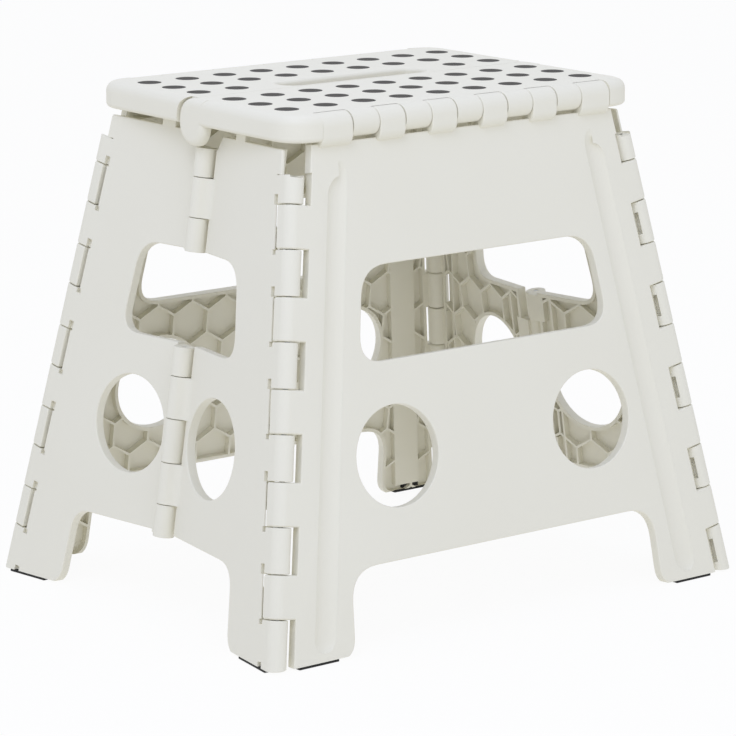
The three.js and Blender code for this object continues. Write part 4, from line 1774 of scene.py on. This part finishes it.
@dataclass(frozen=True)
class SeatHalf:
    """A seat half with its knuckles, drawn as the front one and turned for the rear."""

    stance: Stance
    is_rear: bool
    dots: GripDots = GripDots()
    length: float = 330 * MM
    corner_run: float = 27 * MM
    top_round: float = 7.5 * MM
    under_round: float = 3.5 * MM
    seam_gap: float = 0.2 * MM
    past_seam: float = 40 * MM
    past_edge: float = 200 * MM
    skin: float = 5 * MM
    rim: float = 3 * MM
    end_wall: float = 24 * MM
    knuckle_edge: float = 0.5 * MM
    knuckle_room: float = 0.25 * MM
    flats: int = 40
    slot: tuple[float, float, float] = (68 * MM, 6 * MM, 31 * MM)
    slot_run: float = 12 * MM
    slot_flare: float = 3 * MM
    rod_reach: float = 142 * MM
    lobe_radius: float = 16.5 * MM
    lobe_thickness: float = 8 * MM
    lobe_round: float = 6 * MM
    lobe_play: float = 0.4 * MM
    shoulder: float = 2 * MM
    shoulder_shares: tuple[float, ...] = (0, 0.15, 0.3, 0.45, 0.6, 0.75, 0.9, 1)
    pivot_drop: float = 26 * MM
    pivot_bore: float = 3.3 * MM
    pivot_inner: float = 140 * MM
    pivot_cap: float = 2.2 * MM
    lug_radius: float = 5.9 * MM
    lug_thickness: float = 10 * MM
    lug_play: float = 0.5 * MM
    lug_edge: float = 0.5 * MM

    @property
    def pivot_z(self) -> float:
        """Gives the height of the pivots."""
        return self.stance.seat_height - self.pivot_drop

    def board(self) -> Solid:
        """Builds the rounded board, cut off at the seam and between the hinge's end knuckles.

        Returns:
            The board.
        """
        s = self.stance
        half, front = self.length / 2, -s.hinge_y - s.hinge_radius
        corners = [Corner(half, self.past_seam), Corner(half, front, self.corner_run)]
        loop = rounded_loop(mirrored(corners), as_drawn, 10)
        ends = rounded_ends(s.seat_under, s.seat_height, self.under_round, self.top_round, 6)
        board = Solid.prism([loop], UNTURNED, ends)
        seam = Solid.box(Vector((-REACH, -self.seam_gap, 0)), Vector((REACH, REACH, OVER_SEAT)))
        low = Vector((-s.knuckle_end, -self.past_edge, UNDER_SEAT))
        return board.minus(seam, Solid.box(low, Vector((s.knuckle_end, -s.hinge_y, OVER_SEAT))))

    def seat_knuckles(self) -> list[Solid]:
        """Builds the seat's own knuckles.

        Returns:
            The knuckles.
        """
        s, gap = self.stance, self.stance.knuckle_gap
        spans = [(s.on_hinge(left + gap), s.on_hinge(right - gap)) for left, right in s.seat_spans(1)]
        return [barrel(start, end, s.hinge_radius, self.knuckle_edge, self.flats) for start, end in spans]

    def knuckle_rooms(self) -> list[Solid]:
        """Builds the cutters of the rooms for the leg panel's knuckles.

        Returns:
            The cutters.
        """
        s = self.stance
        radius = s.hinge_radius + self.knuckle_room
        return [
            barrel(s.on_hinge(left), s.on_hinge(right), radius, 0, self.flats)
            for left, right in s.seat_spans(0)
        ]

    def under_pockets(self) -> Solid:
        """Builds the honeycomb cells under the half.

        Returns:
            The cells as one cutter.
        """
        s = self.stance
        half = self.length / 2 - self.end_wall
        near, far = -self.rim, -s.hinge_y + s.hinge_radius + self.rim
        low, high = s.seat_under - OVERRUN, s.seat_height - self.skin
        region = Solid.box(Vector((-half, far, low)), Vector((half, near, high)))
        centre = Vector((0, (near + far) / 2, (low + high) / 2))
        cells = Honeycomb().cells(UNTURNED, 2 * half, near - far, centre, high - low + OVERRUN)
        pockets = cells.within(region)
        if self.is_rear:
            around_slot = self.slot_prism(self.rim, [Station(UNDER_SEAT, 0), Station(OVER_SEAT, 0)])
            pockets = pockets.minus(around_slot)
        return pockets

    def slot_prism(self, grow: float, stations: Sequence[Station]) -> Solid:
        """Builds a prism on the handle slot's outline.

        Args:
            grow: How much wider than the slot it is, on all sides.
            stations: Its sections.

        Returns:
            The prism.
        """
        half, near, far = self.slot
        corners = [
            Corner(half + grow, -near + grow, self.slot_run),
            Corner(half + grow, -far - grow, self.slot_run),
        ]
        return Solid.prism([rounded_loop(mirrored(corners), as_drawn)], UNTURNED, stations)

    def lobe(self, end: int, play: float) -> Solid:
        """Builds a pivot lobe of the front half, or the cutter of its room in the rear half.

        Args:
            end: The left end (-1) or the right one (1).
            play: How much larger the room is than the lobe, or 0 for the lobe.

        Returns:
            The lobe or the cutter.
        """
        s = self.stance
        r, base = self.lobe_radius + play, s.seat_under
        top = s.seat_height + (OVERRUN if play else 0)
        start, bend = Vector((-self.shoulder, top)), Vector((r, top))
        shoulder = bow(start, bend, Vector((r, base + self.shoulder)), self.shoulder_shares)
        disc = arc_points(Vector((0, base)), r, 0, -180, 32)
        loop = counter_clockwise([Vector((-r, top)), *shoulder, *disc])
        inner = self.length / 2 - self.lobe_thickness - play
        outer = self.length / 2 + (OVERRUN if play else 0)
        ends = rounded_ends(inner, outer, 0, 0 if play else self.lobe_round, 6)
        solid = Solid.prism([loop], SIDE_VIEW, ends)
        if end > 0:
            return solid
        turned = solid.moved(Matrix.Scale(-1, 4, Vector((1, 0, 0))))
        turned.mesh.flip_normals()
        return turned

    def lug(self, end: int) -> Solid:
        """Builds the lug behind a lobe, of which the rear half gets its own side.

        Args:
            end: The left end (-1) or the right one (1).

        Returns:
            The lug.
        """
        outer = self.length / 2 - self.lobe_thickness - self.lug_play
        inner = outer - self.lug_thickness
        r, top = self.lug_radius, self.stance.seat_under + OVERRUN
        loop = [*arc_points(Vector((0, self.pivot_z)), r, 180, 360, 20), Vector((r, top)), Vector((-r, top))]
        low, high = sorted((end * inner, end * outer))
        return Solid.prism([loop], SIDE_VIEW, rounded_ends(low, high, self.lug_edge, self.lug_edge, 2))

    def solid(self) -> Solid:
        """Builds the whole half in its place.

        Returns:
            The half.
        """
        s = self.stance
        body = self.board().plus(*self.seat_knuckles())
        body = body.minus(*self.knuckle_rooms(), s.rod_cutter(self.rod_reach), self.under_pockets())
        if self.is_rear:
            slot = self.slot_prism(0, flared_top(UNDER_SEAT, s.seat_height, self.slot_flare))
            body = body.minus(slot).moved(HALF_TURN)
            body = body.minus(*[self.lobe(end, self.lobe_play) for end in (-1, 1)])
            low, high = Vector((-REACH, self.seam_gap, UNDER_SEAT)), Vector((REACH, REACH, OVER_SEAT))
            rear_only = Solid.box(low, high)
            body = body.plus(*[self.lug(end).within(rear_only) for end in (-1, 1)])
        else:
            body = body.plus(*[self.lobe(end, 0) for end in (-1, 1)])
        inner, outer, z = self.pivot_inner, self.length / 2 - self.pivot_cap, self.pivot_z
        bores = [
            barrel(Vector((end * inner, 0, z)), Vector((end * outer, 0, z)), self.pivot_bore)
            for end in (-1, 1)
        ]
        return body.minus(*bores, self.dots.cutter(s.seat_height, self.is_rear))


@dataclass(frozen=True)
class FootPads:
    """Rubber pads with a tread under every foot."""

    edge: float = 0.6 * MM
    merge: float = 0.01 * MM
    flat_angle: float = math.radians(2)
    sharp_angle: float = math.radians(40)

    def solid(self, node: str) -> Solid:
        """Builds a pad where the frame has it: a sole with rounded edges, on its peg.

        Args:
            node: The name of the pad's node.

        Returns:
            The pad.
        """
        mesh = bpy.data.objects[node].data.copy()
        work = bmesh.new()
        work.from_mesh(mesh)
        bmesh.ops.remove_doubles(work, verts=work.verts, dist=self.merge)
        bmesh.ops.dissolve_limit(work, angle_limit=self.flat_angle, verts=work.verts, edges=work.edges)
        sharp = [edge for edge in work.edges if edge.calc_face_angle(0) > self.sharp_angle]
        bmesh.ops.bevel(work, geom=sharp, offset=self.edge, segments=3, profile=0.5, affect="EDGES")
        work.to_mesh(mesh)
        work.free()
        return Solid(mesh)


@dataclass(frozen=True)
class Rods:
    """Round rods and pins in place of the frame's plain ones, each kind with its radius."""

    kinds: tuple[tuple[str, float], ...] = (
        ("seat_hinge_rod", 2.5 * MM),
        ("pivot_pin", 3 * MM),
        ("corner_rod", 2 * MM),
        ("middle_rod", 2 * MM),
    )
    edge: float = 0.5 * MM
    flats: int = 24

    def radius(self, node: str) -> float:
        """Gives the radius of a node's rod, or zero where the node is no rod."""
        return next((radius for kind, radius in self.kinds if node.startswith(kind)), 0.0)

    def ends(self, node: str) -> tuple[Vector, Vector]:
        """Finds the two ends of a straight rod of the frame from its farthest points.

        Args:
            node: The name of the rod's node.

        Returns:
            The two ends.
        """
        points = [vertex.co.copy() for vertex in bpy.data.objects[node].data.vertices]
        centre = sum(points, Vector()) / len(points)
        far = max(points, key=lambda point: (point - centre).length)
        axis = (far - centre).normalized()
        ends = [point for point in points if (point - centre).dot(axis) > 0]
        mean = sum(ends, Vector()) / len(ends)
        return centre * 2 - mean, mean

    def solid(self, node: str) -> Solid:
        """Builds the rod that stands for a node."""
        return barrel(*self.ends(node), self.radius(node), self.edge, self.flats)


class Lamp(NamedTuple):
    """A square soft lamp that faces the stool."""

    name: str
    place: tuple[float, float, float]
    size: float
    power: float
    tint: Tint

    def light(self, aim: Vector) -> None:
        """Makes the lamp and turns it to a point.

        Args:
            aim: The point that it faces.
        """
        data = bpy.data.lights.new(self.name, "AREA")
        data.size = self.size
        data.energy = self.power
        data.color = self.tint
        lamp = bpy.data.objects.new(self.name, data)
        lamp.location = self.place
        lamp.rotation_euler = (aim - Vector(self.place)).to_track_quat("-Z", "Y").to_euler()
        bpy.context.scene.collection.objects.link(lamp)


@dataclass(frozen=True)
class Studio:
    """A pale floor, soft lamps, and a camera where the photograph was taken from."""

    azimuth: float = -37.689
    elevation: float = 12.614
    roll: float = -0.128
    distance: float = 2.7871
    target: tuple[float, float, float] = (1.381 * MM, 0.0, 162.8 * MM)
    focal: float = 174.67
    sensor: float = 36.0
    floor_half: float = 30.0
    floor_colour: Tint = (0.8, 0.8, 0.8)
    floor_roughness: float = 0.9
    table_glow: float = 0.62
    seen_white: float = 0.94
    white: Tint = (1, 1, 1)
    sky_tint: Tint = (0.945, 0.985, 1.14)
    sky_light: float = 0.68
    lamp_aim: tuple[float, float, float] = (0, 0, 0.2)
    lamps: tuple[Lamp, ...] = (
        Lamp("key", (-1.3, -0.9, 2.2), 1.2, 14.0, (0.92, 0.985, 1.27)),
        Lamp("fill", (-0.4, -2.4, 1.3), 1.6, 6.0, (0.95, 0.995, 1.10)),
        Lamp("top", (0.3, 0.5, 2.4), 1.2, 5.0, (0.96, 0.99, 1.09)),
    )

    def camera(self) -> None:
        """Makes the camera."""
        a, e, r = (math.radians(angle) for angle in (self.azimuth, self.elevation, self.roll))
        back = Vector((math.sin(a) * math.cos(e), -math.cos(a) * math.cos(e), math.sin(e)))
        right = UP.cross(back).normalized()
        up = back.cross(right)
        turned_right = right * math.cos(r) + up * math.sin(r)
        turned_up = up * math.cos(r) - right * math.sin(r)
        data = bpy.data.cameras.new("camera")
        data.sensor_width = self.sensor
        data.lens = self.focal
        camera = bpy.data.objects.new("camera", data)
        place = Vector(self.target) + back * self.distance
        camera.matrix_world = axes_frame(turned_right, turned_up, back, place)
        bpy.context.scene.collection.objects.link(camera)
        bpy.context.scene.camera = camera

    def floor(self) -> None:
        """Makes the pale floor, which the camera sees as white except in the stool's shadow."""
        mesh = bpy.data.meshes.new("floor")
        half = self.floor_half
        corners = [(*corner, 0) for corner in rectangle(-half, -half, half, half)]
        mesh.from_pydata(corners, [], [(0, 1, 2, 3)])
        floor = bpy.data.objects.new("floor", mesh)
        bpy.context.scene.collection.objects.link(floor)
        surface = Surface("floor_white")
        nodes, links, shader = surface.nodes, surface.links, surface.shader
        shader.inputs["Base Color"].default_value = (*self.floor_colour, 1)
        shader.inputs["Roughness"].default_value = self.floor_roughness
        glow = nodes.new("ShaderNodeEmission")
        glow.inputs["Color"].default_value = (*self.white, 1)
        share = nodes.new("ShaderNodeMapRange")
        share.inputs["To Min"].default_value = self.table_glow
        share.inputs["To Max"].default_value = self.seen_white
        links.new(seen_rays(nodes, links), share.inputs["Value"])
        blend_shaders(nodes, links, share.outputs[0], shader, glow, nodes["Material Output"])
        mesh.materials.append(surface.material)

    def sky(self) -> None:
        """Sets the world: white behind the stool, and a soft even light on it."""
        world = bpy.data.worlds.new("studio")
        bpy.context.scene.world = world
        world.use_nodes = True
        nodes, links = world.node_tree.nodes, world.node_tree.links
        light = nodes["Background"]
        light.inputs["Color"].default_value = (*self.sky_tint, 1)
        light.inputs["Strength"].default_value = self.sky_light
        white = nodes.new("ShaderNodeBackground")
        white.inputs["Color"].default_value = (*self.white, 1)
        blend_shaders(nodes, links, seen_rays(nodes, links), light, white, nodes["World Output"])

    def build(self) -> None:
        """Makes the whole studio."""
        self.camera()
        self.floor()
        self.sky()
        for lamp in self.lamps:
            lamp.light(Vector(self.lamp_aim))
        bpy.context.scene.view_settings.view_transform = "Standard"


@dataclass(frozen=True)
class Stool:
    """The stool's pieces, built in order and set on the frame."""

    finishes: Finishes
    stance: Stance = Stance()

    def build_seat(self) -> None:
        """Builds both seat halves and their dots."""
        for name, is_rear in (("front", False), ("rear", True)):
            half = SeatHalf(self.stance, is_rear)
            body = f"seat_{name}"
            show(half.solid(), f"shell_seat_{name}", self.finishes.shell, body, "shell", body)
            dots = half.dots.solid(self.stance.seat_height, is_rear, self.finishes.grip)
            show(dots, f"dots_{name}", self.finishes.grip, body, "grip", f"grip_dots_{name}")

    def build_legs(self) -> None:
        """Builds both leg panels."""
        front = LegPanel(self.stance).solid()
        for name, solid in (("front", front), ("rear", front.moved(HALF_TURN))):
            body = f"leg_{name}"
            show(solid, f"shell_leg_{name}", self.finishes.shell, body, "shell", body)

    def build_ends(self) -> None:
        """Builds the four end halves."""
        loose = EndHalf(self.stance, -1, Hold.LOOSE).solid()
        holder = EndHalf(self.stance, 1, Hold.RODS).solid()
        pieces = {
            "left_front": loose,
            "left_rear": holder,
            "right_rear": loose.moved(HALF_TURN),
            "right_front": holder.moved(HALF_TURN),
        }
        for name, solid in pieces.items():
            body = f"end_{name}"
            show(solid, f"shell_end_{name}", self.finishes.shell, body, "shell", body)

    def build_pads(self, bodies: dict[str, list[str]]) -> None:
        """Builds the foot pads on the bodies that carry them.

        Args:
            bodies: The names of each body's nodes.
        """
        pads = FootPads()
        for body, nodes in bodies.items():
            for node in nodes:
                if node.startswith("foot_pad"):
                    show(pads.solid(node), f"tread_{node}", self.finishes.pad, body, "foot_rubber", node)

    def build_rods(self, bodies: dict[str, list[str]]) -> None:
        """Builds the rods and pins on the bodies that hold them.

        Args:
            bodies: The names of each body's nodes.
        """
        rods = Rods()
        for body, nodes in bodies.items():
            for node in nodes:
                if rods.radius(node):
                    show(rods.solid(node), f"wire_{node}", self.finishes.wire, body, "rod_steel", node)


def main() -> None:
    """Builds the stool and its studio."""
    logging.basicConfig(level=logging.INFO, format="%(name)s %(message)s")
    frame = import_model()
    bodies = frame["record"]["behaviour"]["bodies"]
    Studio().build()
    stool = Stool(Finishes.made())
    stool.build_seat()
    stool.build_legs()
    stool.build_ends()
    stool.build_pads(bodies)
    stool.build_rods(bodies)


if __name__ == "__main__":
    main()
